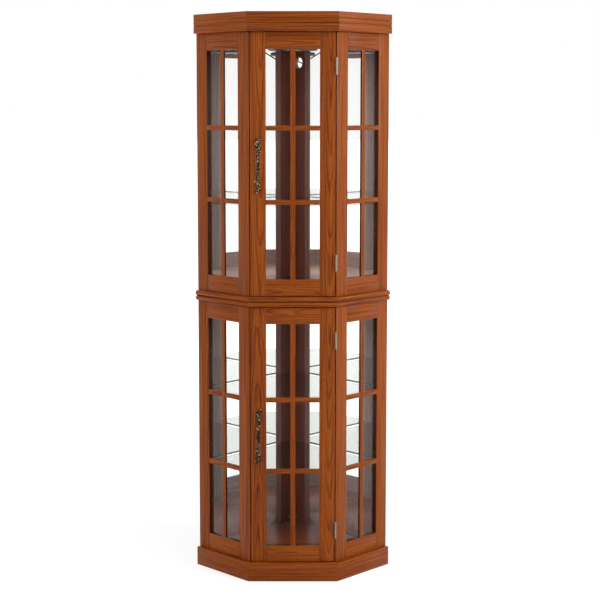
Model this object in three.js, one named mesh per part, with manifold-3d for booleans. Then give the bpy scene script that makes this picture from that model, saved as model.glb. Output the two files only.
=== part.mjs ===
// A two-part corner curio cabinet: two glazed five-sided bays stacked on each other, with a plinth
// below and a cornice above. Millimetres, +Z up, the doors face -Y, the room's corner is at +Y.
import * as THREE from "three";
import { mergeVertices } from "three/addons/utils/BufferGeometryUtils.js";
import Module from "manifold-3d";

const wasm = await Module();
wasm.setup();

// Driving sizes of the whole cabinet
const seatGap = 0.3; // clearance between two pieces that touch
const overrun = 5; // how far a cutting body reaches past what it cuts
const weldDistance = 0.001;
const frontHalfWidth = 137; // middle of the front to its near corner
const sideWidth = 242; // each side panel, turned 45 degrees
const bayHeight = 824; // clear height of each glazed bay
const boardThickness = 16;
const frameThickness = 20;
const plinthHeight = 60;
const corniceHeight = 60;
const overhang = 12; // plinth, cornice and rounded boards past the panels
const lowerTopOverhang = 10.5;
const trimLap = 4; // how far plinth and cornice boards reach under the panels
const plinthEase = 1.5;
const corniceGrooveDrops = [20, 35]; // V grooves, below the cornice's top
const corniceGrooveDepth = 2.4;
const roundedEdgeShare = 0.4; // depth of a board's rounded edge, of its thickness
const roundedEdgeSteps = 8;

// Frames, lattices and glass
const doorGap = 3;
const cornerLand = 1; // flat of the side frame's front edge beside the door
const doorEndGap = 2;
const stileWidth = 49;
const railHeight = 52.5;
const muntinWidth = 16;
const muntinHeight = 15;
const outerLiteShare = 235 / 715; // top and bottom lites, of the glazed height
const latticeDepth = 6.4;
const grooveInset = 7; // face of the frame to the glass groove
const glassThickness = 3;
const glassGrooveDepth = 8;

// Back walls
const wallBoardWidth = 24;
const postWidth = 74;
const mirrorThickness = 3;
const mirrorRebate = 6;
const cableHoleCornerLand = 8; // wood left between the cable hole and the corner
const cableHoleEdgeLand = 12; // wood left between it and the post board's edge
const cableHoleDrop = 83; // below the ceiling
const baseRailThickness = 16;

// Glass shelves and their pins
const shelfThickness = 6;
const shelfEdgeGap = 3;
const shelfWallGap = 2;
const shelfDoorGap = 10;
const lowShelfTop = 288; // above the bay's floor
const highShelfTop = 533;
const pinDiameter = 5;
const pinReach = 7;
const pinRoot = 2;
const pinFromEdge = 15; // pin centre from the edge of its stile

// Hinges
const hingeHeight = 53;
const hingeFromEnd = 78; // door end to the hinge
const barrelDiameter = 5.5;
const barrelShift = 1.8; // barrel axis outside the middle of the door gap
const hingePinDiameter = 2.4;
const hingeBoreDiameter = 3.2;
const leafThickness = 1;
const leafDepth = 19;
const leafSeat = 0.2;

// Door pulls
const pullProud = 19;
const pullRadius = 2.9;
const pullHalfHeight = 92;
const pullSwingShare = 1.8; // sideways swing of the stem, of its radius
const pullMiddleBeadShare = 1.9; // radius of the widest bead, of the stem's radius
const pullPostHeight = 58;
const pullPostDiameter = 8;
const pullPostShare = 0.75; // length of a post, of the pull's reach
const pullRosetteDiameter = 15;
const pullRosetteThickness = 3;

// Magnet catch on the ceiling behind each door
const catchWidth = 46;
const catchDepth = 14;
const catchHeight = 12;
const catchFromCorner = 34; // door's free edge to the catch
const catchDoorGap = 0.6;
const catchSlotShare = 0.55; // width of the magnet's slot, of the catch
const catchSlotDropShares = [0.25, 0.75]; // slot's top and bottom, of the catch's height

// Lamp under the upper ceiling
const lampFromFront = 235;
const lampHousingDiameter = 64;
const lampHousingHeight = 38;
const lampHousingEase = 3;
const lampDishDiameter = 160;
const lampDishThickness = 12;
const lampDishRim = 3;
const lampLensDiameter = 58;
const lampLensThickness = 5;
const lampLensDropShares = [0.15, 0.6]; // lens face at half radius and at its rim, of its thickness
const lampLensFlatShare = 0.6; // radius of the lens's flatter middle, of its radius
const lampBossDiameter = 9;
const lampBossTipDiameter = 7;
const lampBossLength = 5;
const lampBossDrop = 18; // below the ceiling

// Lamp cord, coil and plug
const cordDiameter = 4;
const cordSides = 8;
const coilSides = 6;
const coilTurns = 4.5;
const coilSteps = 24; // for each turn
const coilPitch = 4.6; // between neighbouring turns and between layers
const coilMeanRadius = 22;
const coilClimb = 0.5; // turns taken to climb a layer
const coilTail = 14;
const coilTailShares = [0.6, 1];
const floorGap = 0.2; // cord, coil and plug above the floor
const cordStandoff = 27; // behind the wall board's back
const cordBendDrop = 97; // from the hole down to where the cord hangs straight
const cordFallSteps = 12;
const cordFloorBend = 60; // height where the cord starts to bend along the floor
const cordFloorRun = 65;
const plugLength = 32;
const plugWidth = 24;
const plugThickness = 17;
const plugEase = 3;
const plugCollarLength = 9;
const plugCollarDiameter = 7.5;
const plugCollarRootDiameter = 9.8;
const plugBladeLength = 17;
const plugBladeWidth = 6.4;
const plugBladeThickness = 1.5;
const plugBladeSpacing = 12.7;

// Derived plan sizes
const diagonal = Math.SQRT1_2;
const sideRun = sideWidth * diagonal;
const halfWidth = frontHalfWidth + sideRun;
const wallLength = halfWidth / diagonal;
const pullReach = pullProud + pullRadius * (pullMiddleBeadShare - 1) + seatGap;
const frontReach = Math.max(pullReach, overhang);
const totalDepth = frontReach + sideRun + halfWidth;
const frontY = frontReach - totalDepth / 2;
const apexY = totalDepth / 2;
const doorOpening = frontHalfWidth - cornerLand;
const doorHalfWidth = doorOpening - doorGap;
const doorHeight = bayHeight - doorEndGap - doorEndGap;
const lowerBayZ = plinthHeight;
const lowerTopZ = lowerBayZ + bayHeight;
const upperBottomZ = lowerTopZ + boardThickness;
const upperBayZ = upperBottomZ + boardThickness;
const upperTopZ = upperBayZ + bayHeight;
const hingeAxisX = doorOpening - doorGap / 2 + barrelShift;
const hingeAxisY = frontY - barrelDiameter / 2 - seatGap;
const lampY = frontY + lampFromFront;
const cableHoleDiameter = postWidth - boardThickness - cableHoleCornerLand - cableHoleEdgeLand;
const cableHoleFromCorner = cableHoleCornerLand + cableHoleDiameter / 2; // on the inner face
const cordFloorZ = cordDiameter / 2 + floorGap;

const materials = {
  wood: new THREE.MeshStandardMaterial({ color: 0x96481c, roughness: 0.42 }),
  darkWood: new THREE.MeshStandardMaterial({ color: 0x4a2418, roughness: 0.5 }),
  glass: new THREE.MeshStandardMaterial({
    color: 0xdfe9e4,
    roughness: 0.04,
    transparent: true,
    opacity: 0.3,
  }),
  mirror: new THREE.MeshStandardMaterial({ color: 0xf0f0f0, roughness: 0.02, metalness: 1 }),
  nickel: new THREE.MeshStandardMaterial({ color: 0xb0aca4, roughness: 0.35, metalness: 1 }),
  bronze: new THREE.MeshStandardMaterial({ color: 0x6b5636, roughness: 0.45, metalness: 1 }),
  black: new THREE.MeshStandardMaterial({ color: 0x16161a, roughness: 0.5 }),
  lens: new THREE.MeshStandardMaterial({ color: 0xe6ece8, roughness: 0.3 }),
};

// A point in plan on the right side panel: along it from the near corner, and inward from its face
function sidePoint(along, inward) {
  return new THREE.Vector2(
    frontHalfWidth + (along - inward) * diagonal,
    frontY + (along + inward) * diagonal,
  );
}

// A point in plan on the right back wall: along it from the outer corner, and inward from its back
function wallPoint(along, inward) {
  return new THREE.Vector2(
    halfWidth - (along + inward) * diagonal,
    frontY + sideRun + (along - inward) * diagonal,
  );
}

// Near and outer corners of the right side, moved outward by an offset
function nearCorner(offset) {
  return new THREE.Vector2(frontHalfWidth + offset * Math.tan(Math.PI / 8), frontY - offset);
}

function outerCorner(offset) {
  return sidePoint(sideWidth, -offset);
}

function mirrored(point) {
  return new THREE.Vector2(-point.x, point.y);
}

// The cabinet's five-sided plan, its three front edges moved outward by an offset
function pentagon(offset) {
  return [
    mirrored(outerCorner(offset)),
    mirrored(nearCorner(offset)),
    nearCorner(offset),
    outerCorner(offset),
    new THREE.Vector2(0, apexY),
  ];
}

// The plan inside the panels, inset from the side frames' faces, the walls' backs and the front
function innerPentagon(sideInset, wallInset, frontInset) {
  const frontLine = frontY + frontInset;
  const sideLine = frontHalfWidth - sideInset / diagonal - frontY;
  const wallLine = apexY - wallInset / diagonal;
  const front = new THREE.Vector2(sideLine + frontLine, frontLine);
  const outer = new THREE.Vector2((wallLine + sideLine) / 2, (wallLine - sideLine) / 2);
  return [mirrored(outer), mirrored(front), front, outer, new THREE.Vector2(0, wallLine)];
}

function toSolid(geometry) {
  const bare = geometry.index ? geometry.toNonIndexed() : geometry.clone();
  bare.deleteAttribute("normal");
  bare.deleteAttribute("uv");
  const merged = mergeVertices(bare, weldDistance);
  return new wasm.Manifold(
    new wasm.Mesh({
      numProp: 3,
      vertProperties: merged.attributes.position.array,
      triVerts: new Uint32Array(merged.index.array),
    }),
  );
}

function toGeometry(solid) {
  const shape = solid.getMesh();
  const indexed = new THREE.BufferGeometry();
  indexed.setAttribute("position", new THREE.BufferAttribute(shape.vertProperties, 3));
  indexed.setIndex(new THREE.BufferAttribute(shape.triVerts, 1));
  const geometry = indexed.toNonIndexed();
  geometry.computeVertexNormals();
  return geometry;
}

function cut(geometry, ...tools) {
  return toGeometry(tools.reduce((left, tool) => left.subtract(toSolid(tool)), toSolid(geometry)));
}

function join(first, ...others) {
  return toGeometry(others.reduce((left, other) => left.add(toSolid(other)), toSolid(first)));
}

// A plan outline raised from one height to another
function prism(outline, bottom, top) {
  const shape = new THREE.Shape(outline);
  const geometry = new THREE.ExtrudeGeometry(shape, { depth: top - bottom, bevelEnabled: false });
  return geometry.translate(0, 0, bottom);
}

function box(low, high) {
  const size = new THREE.Vector3().subVectors(high, low);
  const middle = new THREE.Vector3().addVectors(high, low).multiplyScalar(0.5);
  return new THREE.BoxGeometry(size.x, size.y, size.z).translate(middle.x, middle.y, middle.z);
}

// A closed skin through rings of points, with the same caps on its first and last ring
function loft(rings, capOutline) {
  const count = rings[0].length;
  const positions = rings.flat().flatMap((point) => [point.x, point.y, point.z]);
  const faces = [];
  for (let ring = 0; ring + 1 < rings.length; ring++) {
    for (let i = 0; i < count; i++) {
      const next = (i + 1) % count;
      const a = ring * count + i;
      const b = ring * count + next;
      faces.push(a, b, b + count, a, b + count, a + count);
    }
  }
  const last = (rings.length - 1) * count;
  for (const [a, b, c] of THREE.ShapeUtils.triangulateShape(capOutline, [])) {
    faces.push(c, b, a, last + a, last + b, last + c);
  }
  const indexed = new THREE.BufferGeometry();
  indexed.setAttribute("position", new THREE.Float32BufferAttribute(positions, 3));
  indexed.setIndex(faces);
  const geometry = indexed.toNonIndexed();
  geometry.computeVertexNormals();
  return geometry;
}

// A moulded board between two mitred corners: its profile is in outward offset and height
function mouldedBoard(profile, fromCorner, toCorner, fromGap, toGap) {
  const run = new THREE.Vector2().subVectors(toCorner(0), fromCorner(0)).normalize();
  const ring = (corner, shift) =>
    profile.map(({ x: offset, y: height }) => {
      const place = corner(offset).addScaledVector(run, shift);
      return new THREE.Vector3(place.x, place.y, height);
    });
  return loft([ring(fromCorner, fromGap), ring(toCorner, -toGap)], profile);
}

// A five-sided board with a rounded front edge
function roundedBoard(edgeOffset, thickness) {
  const edgeDepth = thickness * roundedEdgeShare;
  const rings = [];
  for (let step = 0; step <= roundedEdgeSteps; step++) {
    const angle = Math.PI * (step / roundedEdgeSteps - 0.5);
    const offset = edgeOffset - edgeDepth * (1 - Math.cos(angle));
    const height = (thickness * (1 + Math.sin(angle))) / 2;
    rings.push(pentagon(offset).map(({ x, y }) => new THREE.Vector3(x, y, height)));
  }
  return loft(rings, pentagon(0));
}

function piece(name, geometry, material, height = 0) {
  const mesh = new THREE.Mesh(geometry, material);
  mesh.name = name;
  mesh.position.z = height;
  return mesh;
}

// A group turned over left for right, so that what it holds is built as the right-hand piece
function handed(side) {
  const group = new THREE.Group();
  group.scale.x = side === "left" ? -1 : 1;
  return group;
}

// Plinth boards stand on the floor round the lower floor board
function plinthProfile() {
  return [
    new THREE.Vector2(-trimLap, 0),
    new THREE.Vector2(overhang, 0),
    new THREE.Vector2(overhang, plinthHeight - plinthEase),
    new THREE.Vector2(overhang - plinthEase, plinthHeight),
    new THREE.Vector2(-trimLap, plinthHeight),
  ];
}

// Cornice boards have two fine V grooves across their faces
function corniceProfile() {
  const profile = [new THREE.Vector2(-trimLap, 0), new THREE.Vector2(overhang, 0)];
  for (const drop of corniceGrooveDrops.toReversed()) {
    const height = corniceHeight - drop;
    profile.push(new THREE.Vector2(overhang, height - corniceGrooveDepth));
    profile.push(new THREE.Vector2(overhang - corniceGrooveDepth, height));
    profile.push(new THREE.Vector2(overhang, height + corniceGrooveDepth));
  }
  profile.push(new THREE.Vector2(overhang, corniceHeight));
  profile.push(new THREE.Vector2(-trimLap, corniceHeight));
  return profile;
}

// Three mitred boards round the front and sides
function trimBoards(name, profile, height) {
  const group = new THREE.Group();
  const mitreGap = seatGap / 2;
  const leftNear = (offset) => mirrored(nearCorner(offset));
  const front = mouldedBoard(profile, nearCorner, leftNear, mitreGap, mitreGap);
  group.add(piece(`${name}_front`, front, materials.wood, height));
  for (const side of ["left", "right"]) {
    const hand = handed(side);
    const board = mouldedBoard(profile, outerCorner, nearCorner, 0, mitreGap);
    hand.add(piece(`${name}_${side}`, board, materials.wood, height));
    group.add(hand);
  }
  return group;
}

// Two rails under the floor board's back edges, joined at the room's corner
function baseRearRails() {
  const end = trimLap + boardThickness + seatGap;
  const front = wallPoint(end, 0);
  const inner = wallPoint(end, baseRailThickness);
  const innerApex = new THREE.Vector2(0, apexY - baseRailThickness / diagonal);
  const apex = new THREE.Vector2(0, apexY);
  const outline = [inner, front, apex, mirrored(front), mirrored(inner), innerApex];
  return prism(outline, 0, plinthHeight - boardThickness - seatGap);
}

function shelfPin(place, direction, height) {
  const length = pinRoot + pinReach;
  const pin = new THREE.CylinderGeometry(pinDiameter / 2, pinDiameter / 2, length, 10);
  pin.rotateZ(-Math.PI / 2).translate(length / 2 - pinRoot, 0, 0);
  pin.rotateZ(Math.atan2(direction.y, direction.x));
  return pin.translate(place.x, place.y, height);
}

function pinHeight(shelfTop) {
  return shelfTop - shelfThickness - seatGap - pinDiameter / 2;
}

// Heights of the two horizontal bars between the rails, as centres above the frame's bottom
function muntinCentres(height) {
  const glazed = height - railHeight - railHeight;
  const rise = glazed * outerLiteShare + muntinHeight / 2;
  return [railHeight + rise, height - railHeight - rise];
}

// A side frame's solid, its glazed hole and its glass groove, with the shelf pins it carries
function sideFrame(shelfTops) {
  const bottom = seatGap;
  const top = bayHeight - seatGap;
  const innerStart = frameThickness - cornerLand / diagonal;
  const outline = [
    new THREE.Vector2(doorOpening, frontY),
    sidePoint(0, 0),
    sidePoint(sideWidth, 0),
    sidePoint(sideWidth, frameThickness),
    sidePoint(innerStart, frameThickness),
  ];
  const lowRail = doorEndGap + railHeight;
  const opening = sideHole(0, -overrun, frameThickness + overrun, lowRail);
  const groove = sideHole(
    glassGrooveDepth,
    grooveInset,
    grooveInset + glassThickness + seatGap + seatGap,
    lowRail,
  );
  const inward = new THREE.Vector2(-diagonal, diagonal);
  const frontPin = sidePoint(stileWidth - pinFromEdge, frameThickness);
  const rearPin = sidePoint(sideWidth - stileWidth + pinFromEdge, frameThickness);
  const pins = shelfTops.flatMap((shelfTop) =>
    [frontPin, rearPin].map((place) => shelfPin(place, inward, pinHeight(shelfTop))),
  );
  return join(cut(prism(outline, bottom, top), opening, groove), ...pins);
}

function sideHole(spread, near, far, lowRail) {
  const start = stileWidth - spread;
  const end = sideWidth - stileWidth + spread;
  const outline = [
    sidePoint(start, near),
    sidePoint(end, near),
    sidePoint(end, far),
    sidePoint(start, far),
  ];
  return prism(outline, lowRail - spread, bayHeight - lowRail + spread);
}

function sideBar(start, end, bottom, top) {
  const outline = [
    sidePoint(start, 0),
    sidePoint(end, 0),
    sidePoint(end, latticeDepth),
    sidePoint(start, latticeDepth),
  ];
  return prism(outline, bottom, top);
}

// One upright and two cross bars, let in flush with the side frame's face
function sideLattice() {
  const start = stileWidth + seatGap;
  const end = sideWidth - stileWidth - seatGap;
  const bottom = doorEndGap + railHeight + seatGap;
  const near = (sideWidth - muntinWidth) / 2;
  const upright = sideBar(near, near + muntinWidth, bottom, bayHeight - bottom);
  const bars = muntinCentres(doorHeight).map((centre) => {
    const height = doorEndGap + centre;
    return sideBar(start, end, height - muntinHeight / 2, height + muntinHeight / 2);
  });
  return join(upright, ...bars);
}

function sideGlass() {
  const near = grooveInset + seatGap;
  const lowRail = doorEndGap + railHeight;
  return sideHole(glassGrooveDepth - seatGap, near, near + glassThickness, lowRail);
}

// The door's solids are built closed, in the cabinet's own plan, with Z from the bay's floor
function doorFrame() {
  const low = doorEndGap;
  const high = bayHeight - doorEndGap;
  const back = frontY + frameThickness;
  const glazedHalf = doorHalfWidth - stileWidth;
  const body = box(
    new THREE.Vector3(-doorHalfWidth, frontY, low),
    new THREE.Vector3(doorHalfWidth, back, high),
  );
  const opening = box(
    new THREE.Vector3(-glazedHalf, frontY - overrun, low + railHeight),
    new THREE.Vector3(glazedHalf, back + overrun, high - railHeight),
  );
  const grooveY = frontY + grooveInset;
  const grooveHalf = glazedHalf + glassGrooveDepth;
  const groove = box(
    new THREE.Vector3(-grooveHalf, grooveY, low + railHeight - glassGrooveDepth),
    new THREE.Vector3(
      grooveHalf,
      grooveY + glassThickness + seatGap + seatGap,
      high - railHeight + glassGrooveDepth,
    ),
  );
  return cut(body, opening, groove);
}

function doorBar(halfWidth, bottom, top) {
  return box(
    new THREE.Vector3(-halfWidth, frontY, bottom),
    new THREE.Vector3(halfWidth, frontY + latticeDepth, top),
  );
}

function doorLattice() {
  const glazedHalf = doorHalfWidth - stileWidth - seatGap;
  const bottom = doorEndGap + railHeight + seatGap;
  const bars = muntinCentres(doorHeight).map((centre) => {
    const height = doorEndGap + centre;
    return doorBar(glazedHalf, height - muntinHeight / 2, height + muntinHeight / 2);
  });
  return join(doorBar(muntinWidth / 2, bottom, bayHeight - bottom), ...bars);
}

function doorGlass() {
  const half = doorHalfWidth - stileWidth + glassGrooveDepth - seatGap;
  const near = frontY + grooveInset + seatGap;
  const low = doorEndGap + railHeight - glassGrooveDepth + seatGap;
  return box(
    new THREE.Vector3(-half, near, low),
    new THREE.Vector3(half, near + glassThickness, bayHeight - low),
  );
}

function barrel(diameter, bottom, top) {
  const tube = new THREE.CylinderGeometry(diameter / 2, diameter / 2, top - bottom, 16);
  tube.rotateX(Math.PI / 2);
  return tube.translate(hingeAxisX, hingeAxisY, (top + bottom) / 2);
}

function leafPlate(near, far, front, bottom, top) {
  return box(
    new THREE.Vector3(near, front, bottom),
    new THREE.Vector3(far, frontY + leafDepth, top),
  );
}

// Each hinge has three knuckles: the outer two and the pin stay with the cabinet
function hingeKnuckles() {
  const knuckle = (hingeHeight - seatGap - seatGap) / 3;
  return [knuckle, knuckle + seatGap, hingeHeight - knuckle - seatGap, hingeHeight - knuckle];
}

function hingeFixedLeaf() {
  const [lowEnd, , , highStart] = hingeKnuckles();
  const near = doorOpening - leafSeat - leafThickness;
  const far = doorOpening - leafSeat;
  return join(
    barrel(barrelDiameter, 0, lowEnd),
    barrel(barrelDiameter, highStart, hingeHeight),
    barrel(hingePinDiameter, 0, hingeHeight),
    leafPlate(near, far, frontY, 0, hingeHeight),
    leafPlate(near, far, hingeAxisY, 0, lowEnd),
    leafPlate(near, far, hingeAxisY, highStart, hingeHeight),
  );
}

function hingeDoorLeaf() {
  const [, start, end] = hingeKnuckles();
  const near = doorHalfWidth + leafSeat;
  const far = near + leafThickness;
  const knuckle = join(
    barrel(barrelDiameter, start, end),
    leafPlate(near, far, frontY, 0, hingeHeight),
    leafPlate(near, far, hingeAxisY, start, end),
  );
  return cut(knuckle, barrel(hingeBoreDiameter, start - overrun, end + overrun));
}

// The pull's stem is an S seen from the front, and bows out from the door between its two posts.
// Each row is a share of the sideways swing, of the half height and of the reach from the door.
function pullStem() {
  const halfShares = [
    [0, 0, 1],
    [0.4, 0.17, 1],
    [1, 0.32, 0.93],
    [-0.2, 0.52, 0.84],
    [-0.8, 0.68, 0.72],
    [-1.4, 0.84, 0.6],
    [-0.7, 0.97, 0.5],
    [0.8, 0.98, 0.45],
    [1.4, 0.9, 0.45],
  ];
  const swing = pullRadius * pullSwingShare;
  const place = ([share, riseShare, proudShare], sign) =>
    new THREE.Vector3(
      sign * share * swing,
      pullRadius - pullProud * proudShare,
      sign * riseShare * pullHalfHeight,
    );
  const lower = halfShares.slice(1).map((row) => place(row, -1));
  const upper = halfShares.map((row) => place(row, 1));
  const section = new THREE.Shape();
  section.absarc(0, 0, pullRadius, 0, 2 * Math.PI);
  return new THREE.ExtrudeGeometry(section, {
    steps: 52,
    curveSegments: 4,
    extrudePath: new THREE.CatmullRomCurve3([...lower.toReversed(), ...upper]),
    bevelEnabled: false,
  });
}

// A round post from the door to the stem, with a rosette at its foot
function pullPost(height) {
  const reach = pullProud * pullPostShare;
  const radius = pullPostDiameter / 2;
  const footRadius = pullRosetteDiameter / 2;
  const post = new THREE.CylinderGeometry(radius, radius, reach, 12);
  const foot = new THREE.CylinderGeometry(footRadius, footRadius, pullRosetteThickness, 16);
  return join(
    post.translate(0, -reach / 2, height),
    foot.translate(0, -pullRosetteThickness / 2, height),
  );
}

function pullBead([riseShare, radiusShare, squashShare]) {
  const bead = new THREE.SphereGeometry(radiusShare * pullRadius, 12, 8);
  const height = riseShare * pullHalfHeight;
  return bead.scale(1, 1, squashShare).translate(0, pullRadius - pullProud, height);
}

// Beads along the stem: a share of the half height, of the stem's radius and of the bead's width
function doorPull() {
  const beadShares = [
    [0, pullMiddleBeadShare, 0.9],
    [0.1, 1.5, 0.5],
    [-0.1, 1.5, 0.5],
    [0.22, 1.7, 0.6],
    [-0.22, 1.7, 0.6],
  ];
  const posts = [pullPostHeight, -pullPostHeight].map(pullPost);
  const pull = join(pullStem(), ...posts, ...beadShares.map(pullBead));
  const centreX = stileWidth / 2 - doorHalfWidth;
  return pull.translate(centreX, frontY - seatGap, bayHeight / 2);
}

// A wall board behind the outer stile, rebated at its back for the mirror
function wallBoard() {
  const start = frameThickness + seatGap;
  const end = start + wallBoardWidth;
  const step = end - mirrorRebate;
  const outline = [
    wallPoint(start, 0),
    wallPoint(step, 0),
    wallPoint(step, mirrorThickness + seatGap),
    wallPoint(end, mirrorThickness + seatGap),
    wallPoint(end, boardThickness),
    wallPoint(start, boardThickness),
  ];
  return prism(outline, seatGap, bayHeight - seatGap);
}

function mirrorPane() {
  const start = frameThickness + seatGap + wallBoardWidth - mirrorRebate + seatGap;
  const end = wallLength - postWidth + mirrorRebate - seatGap;
  const outline = [
    wallPoint(start, 0),
    wallPoint(end, 0),
    wallPoint(end, mirrorThickness),
    wallPoint(start, mirrorThickness),
  ];
  return prism(outline, seatGap, bayHeight - seatGap);
}

// Two boards joined in the room's corner, rebated at their backs for the mirrors
function cornerPost(shelfTops, hasCableHole) {
  const edge = wallLength - postWidth;
  const step = edge + mirrorRebate;
  const right = [
    wallPoint(edge, boardThickness),
    wallPoint(edge, mirrorThickness + seatGap),
    wallPoint(step, mirrorThickness + seatGap),
    wallPoint(step, 0),
  ];
  const innerApex = new THREE.Vector2(0, apexY - boardThickness / diagonal);
  const left = right.map(mirrored).toReversed();
  const outline = [...right, new THREE.Vector2(0, apexY), ...left, innerApex];
  const post = prism(outline, seatGap, bayHeight - seatGap);
  const pinAlong = edge + pinFromEdge;
  const pinPlace = wallPoint(pinAlong, boardThickness);
  const pins = shelfTops.flatMap((shelfTop) => [
    shelfPin(pinPlace, new THREE.Vector2(-diagonal, -diagonal), pinHeight(shelfTop)),
    shelfPin(mirrored(pinPlace), new THREE.Vector2(diagonal, -diagonal), pinHeight(shelfTop)),
  ]);
  const pinned = join(post, ...pins);
  return hasCableHole ? cut(pinned, cableHole()) : pinned;
}

// The hole for the lamp's cord, square through the right-hand board
function cableHole() {
  const length = boardThickness + overrun + overrun;
  const radius = cableHoleDiameter / 2;
  const middle = wallPoint(
    wallLength - boardThickness - cableHoleFromCorner,
    boardThickness / 2,
  );
  const hole = new THREE.CylinderGeometry(radius, radius, length, 28);
  hole.rotateZ(-Math.PI / 4);
  return hole.translate(middle.x, middle.y, bayHeight - cableHoleDrop);
}

// A glass shelf lies on its pins, clear of the panels, the walls and the door
function shelf() {
  const outline = innerPentagon(
    frameThickness + shelfEdgeGap,
    boardThickness + shelfWallGap,
    frameThickness + shelfDoorGap,
  );
  return prism(outline, -shelfThickness, 0);
}

// The catch hangs from the ceiling behind the door's free corner, its magnet in a slot in front
function magnetCatch() {
  const start = catchFromCorner - doorHalfWidth;
  const near = frontY + frameThickness + catchDoorGap;
  const top = bayHeight - seatGap;
  const middle = start + catchWidth / 2;
  const slotHalf = (catchWidth * catchSlotShare) / 2;
  const [slotTop, slotBottom] = catchSlotDropShares.map((share) => top - catchHeight * share);
  const body = box(
    new THREE.Vector3(start, near, top - catchHeight),
    new THREE.Vector3(start + catchWidth, near + catchDepth, top),
  );
  const slot = box(
    new THREE.Vector3(middle - slotHalf, near - overrun, slotBottom),
    new THREE.Vector3(middle + slotHalf, near + catchDoorGap, slotTop),
  );
  return cut(body, slot);
}

// Turned shapes are drawn as radius and height, with the height measured down from the ceiling
function turned(profile, segments) {
  const points = profile.map(([radius, drop]) => new THREE.Vector2(radius, -drop));
  const geometry = new THREE.LatheGeometry(points, segments);
  return geometry.rotateX(Math.PI / 2);
}

// Direction in plan from the lamp to the cable hole
function cordDirection() {
  const hole = cableHolePoint();
  return new THREE.Vector2(hole.x, hole.y - lampY).normalize();
}

// The black canister under the ceiling, with the boss that its cord leaves by
function lampHousing() {
  const radius = lampHousingDiameter / 2;
  const low = lampHousingHeight + seatGap;
  const can = turned(
    [
      [0, low],
      [radius - lampHousingEase, low],
      [radius, low - lampHousingEase],
      [radius, seatGap],
      [0, seatGap],
    ],
    32,
  );
  const length = lampBossLength + overrun;
  const boss = new THREE.CylinderGeometry(
    lampBossTipDiameter / 2,
    lampBossDiameter / 2,
    length,
    12,
  );
  const { x, y } = cordDirection();
  boss.translate(0, radius - overrun + length / 2, 0).rotateZ(Math.atan2(y, x) - Math.PI / 2);
  return join(can, boss.translate(0, 0, -lampBossDrop));
}

// A shallow dish under the canister, hollowed below for its lens
function lampDish() {
  const radius = lampDishDiameter / 2;
  const top = lampHousingHeight + seatGap + seatGap;
  const bottom = top + lampDishThickness;
  const hollow = lampLensThickness + seatGap + seatGap;
  const lensRadius = lampLensDiameter / 2 + seatGap;
  return turned(
    [
      [0, bottom - hollow],
      [lensRadius, bottom - hollow],
      [lensRadius, bottom - lampDishRim],
      [radius - lampDishRim, bottom - lampDishRim / 2],
      [radius - lampDishRim / 2, bottom],
      [radius, bottom - lampDishRim / 2],
      [radius, top + lampDishRim],
      [radius - lampDishRim, top],
      [0, top],
    ],
    40,
  );
}

function lampLens() {
  const radius = lampLensDiameter / 2;
  const top = lampHousingHeight + seatGap + lampDishThickness - lampLensThickness;
  const bottom = top + lampLensThickness;
  const [middleRise, rimRise] = lampLensDropShares.map((share) => lampLensThickness * share);
  return turned(
    [
      [0, bottom],
      [radius * lampLensFlatShare, bottom - middleRise],
      [radius, bottom - rimRise],
      [radius, top + seatGap],
      [0, top + seatGap],
    ],
    28,
  );
}

// The point on the right post board's inner face where the middle of the cable hole is
function cableHolePoint() {
  const place = wallPoint(wallLength - boardThickness - cableHoleFromCorner, boardThickness);
  return new THREE.Vector3(place.x, place.y, upperTopZ - cableHoleDrop);
}

// From the lamp's boss over the dish to the hole: shares of the way and of the drop
function cordInside() {
  const routeShares = [
    [0, 0],
    [0.09, 0],
    [0.25, 0.04],
    [0.44, 0.17],
    [0.63, 0.41],
    [0.78, 0.65],
    [0.9, 0.83],
    [0.98, 0.93],
  ];
  const { x, y } = cordDirection();
  const fromAxis = lampHousingDiameter / 2 + lampBossLength + seatGap;
  const start = new THREE.Vector3(x * fromAxis, lampY + y * fromAxis, upperTopZ - lampBossDrop);
  const end = cableHolePoint();
  return routeShares.map(([wayShare, dropShare]) => {
    const point = start.clone().lerp(end, wayShare);
    point.z = THREE.MathUtils.lerp(start.z, end.z, dropShare);
    return point;
  });
}

// Out through the hole and straight down the wall: shares of the way out and of the bend's drop
function cordOutside() {
  const routeShares = [
    [0.35, 0.01],
    [0.62, 0.09],
    [0.85, 0.26],
    [0.97, 0.53],
    [1, 1],
  ];
  const outward = new THREE.Vector3(diagonal, diagonal, 0);
  const bend = routeShares.map(([outShare, dropShare]) => {
    const point = cableHolePoint();
    point.addScaledVector(outward, (boardThickness + cordStandoff) * outShare);
    point.z -= cordBendDrop * dropShare;
    return point;
  });
  const { x, y, z } = bend.at(-1);
  const fall = [];
  for (let step = 1; step <= cordFallSteps; step++) {
    const height = THREE.MathUtils.lerp(z, cordFloorBend, step / cordFallSteps);
    fall.push(new THREE.Vector3(x, y, height));
  }
  return [...bend, ...fall];
}

// Along the floor beside the wall: shares of the run and of the height of the bend
function cordOnFloor(foot) {
  const routeShares = [
    [0.02, 0.51],
    [0.12, 0.17],
    [0.35, 0.02],
    [0.65, 0],
    [1, 0],
  ];
  return routeShares.map(([runShare, riseShare]) => {
    const run = cordFloorRun * runShare * diagonal;
    const height = THREE.MathUtils.lerp(cordFloorZ, cordFloorBend, riseShare);
    return new THREE.Vector3(foot.x + run, foot.y - run, height);
  });
}

// The lamp's cord as it lies: over the dish, out through the hole and down to the floor
function cordRoute() {
  const outside = cordOutside();
  return [...cordInside(), ...outside, ...cordOnFloor(outside.at(-1))];
}

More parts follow.
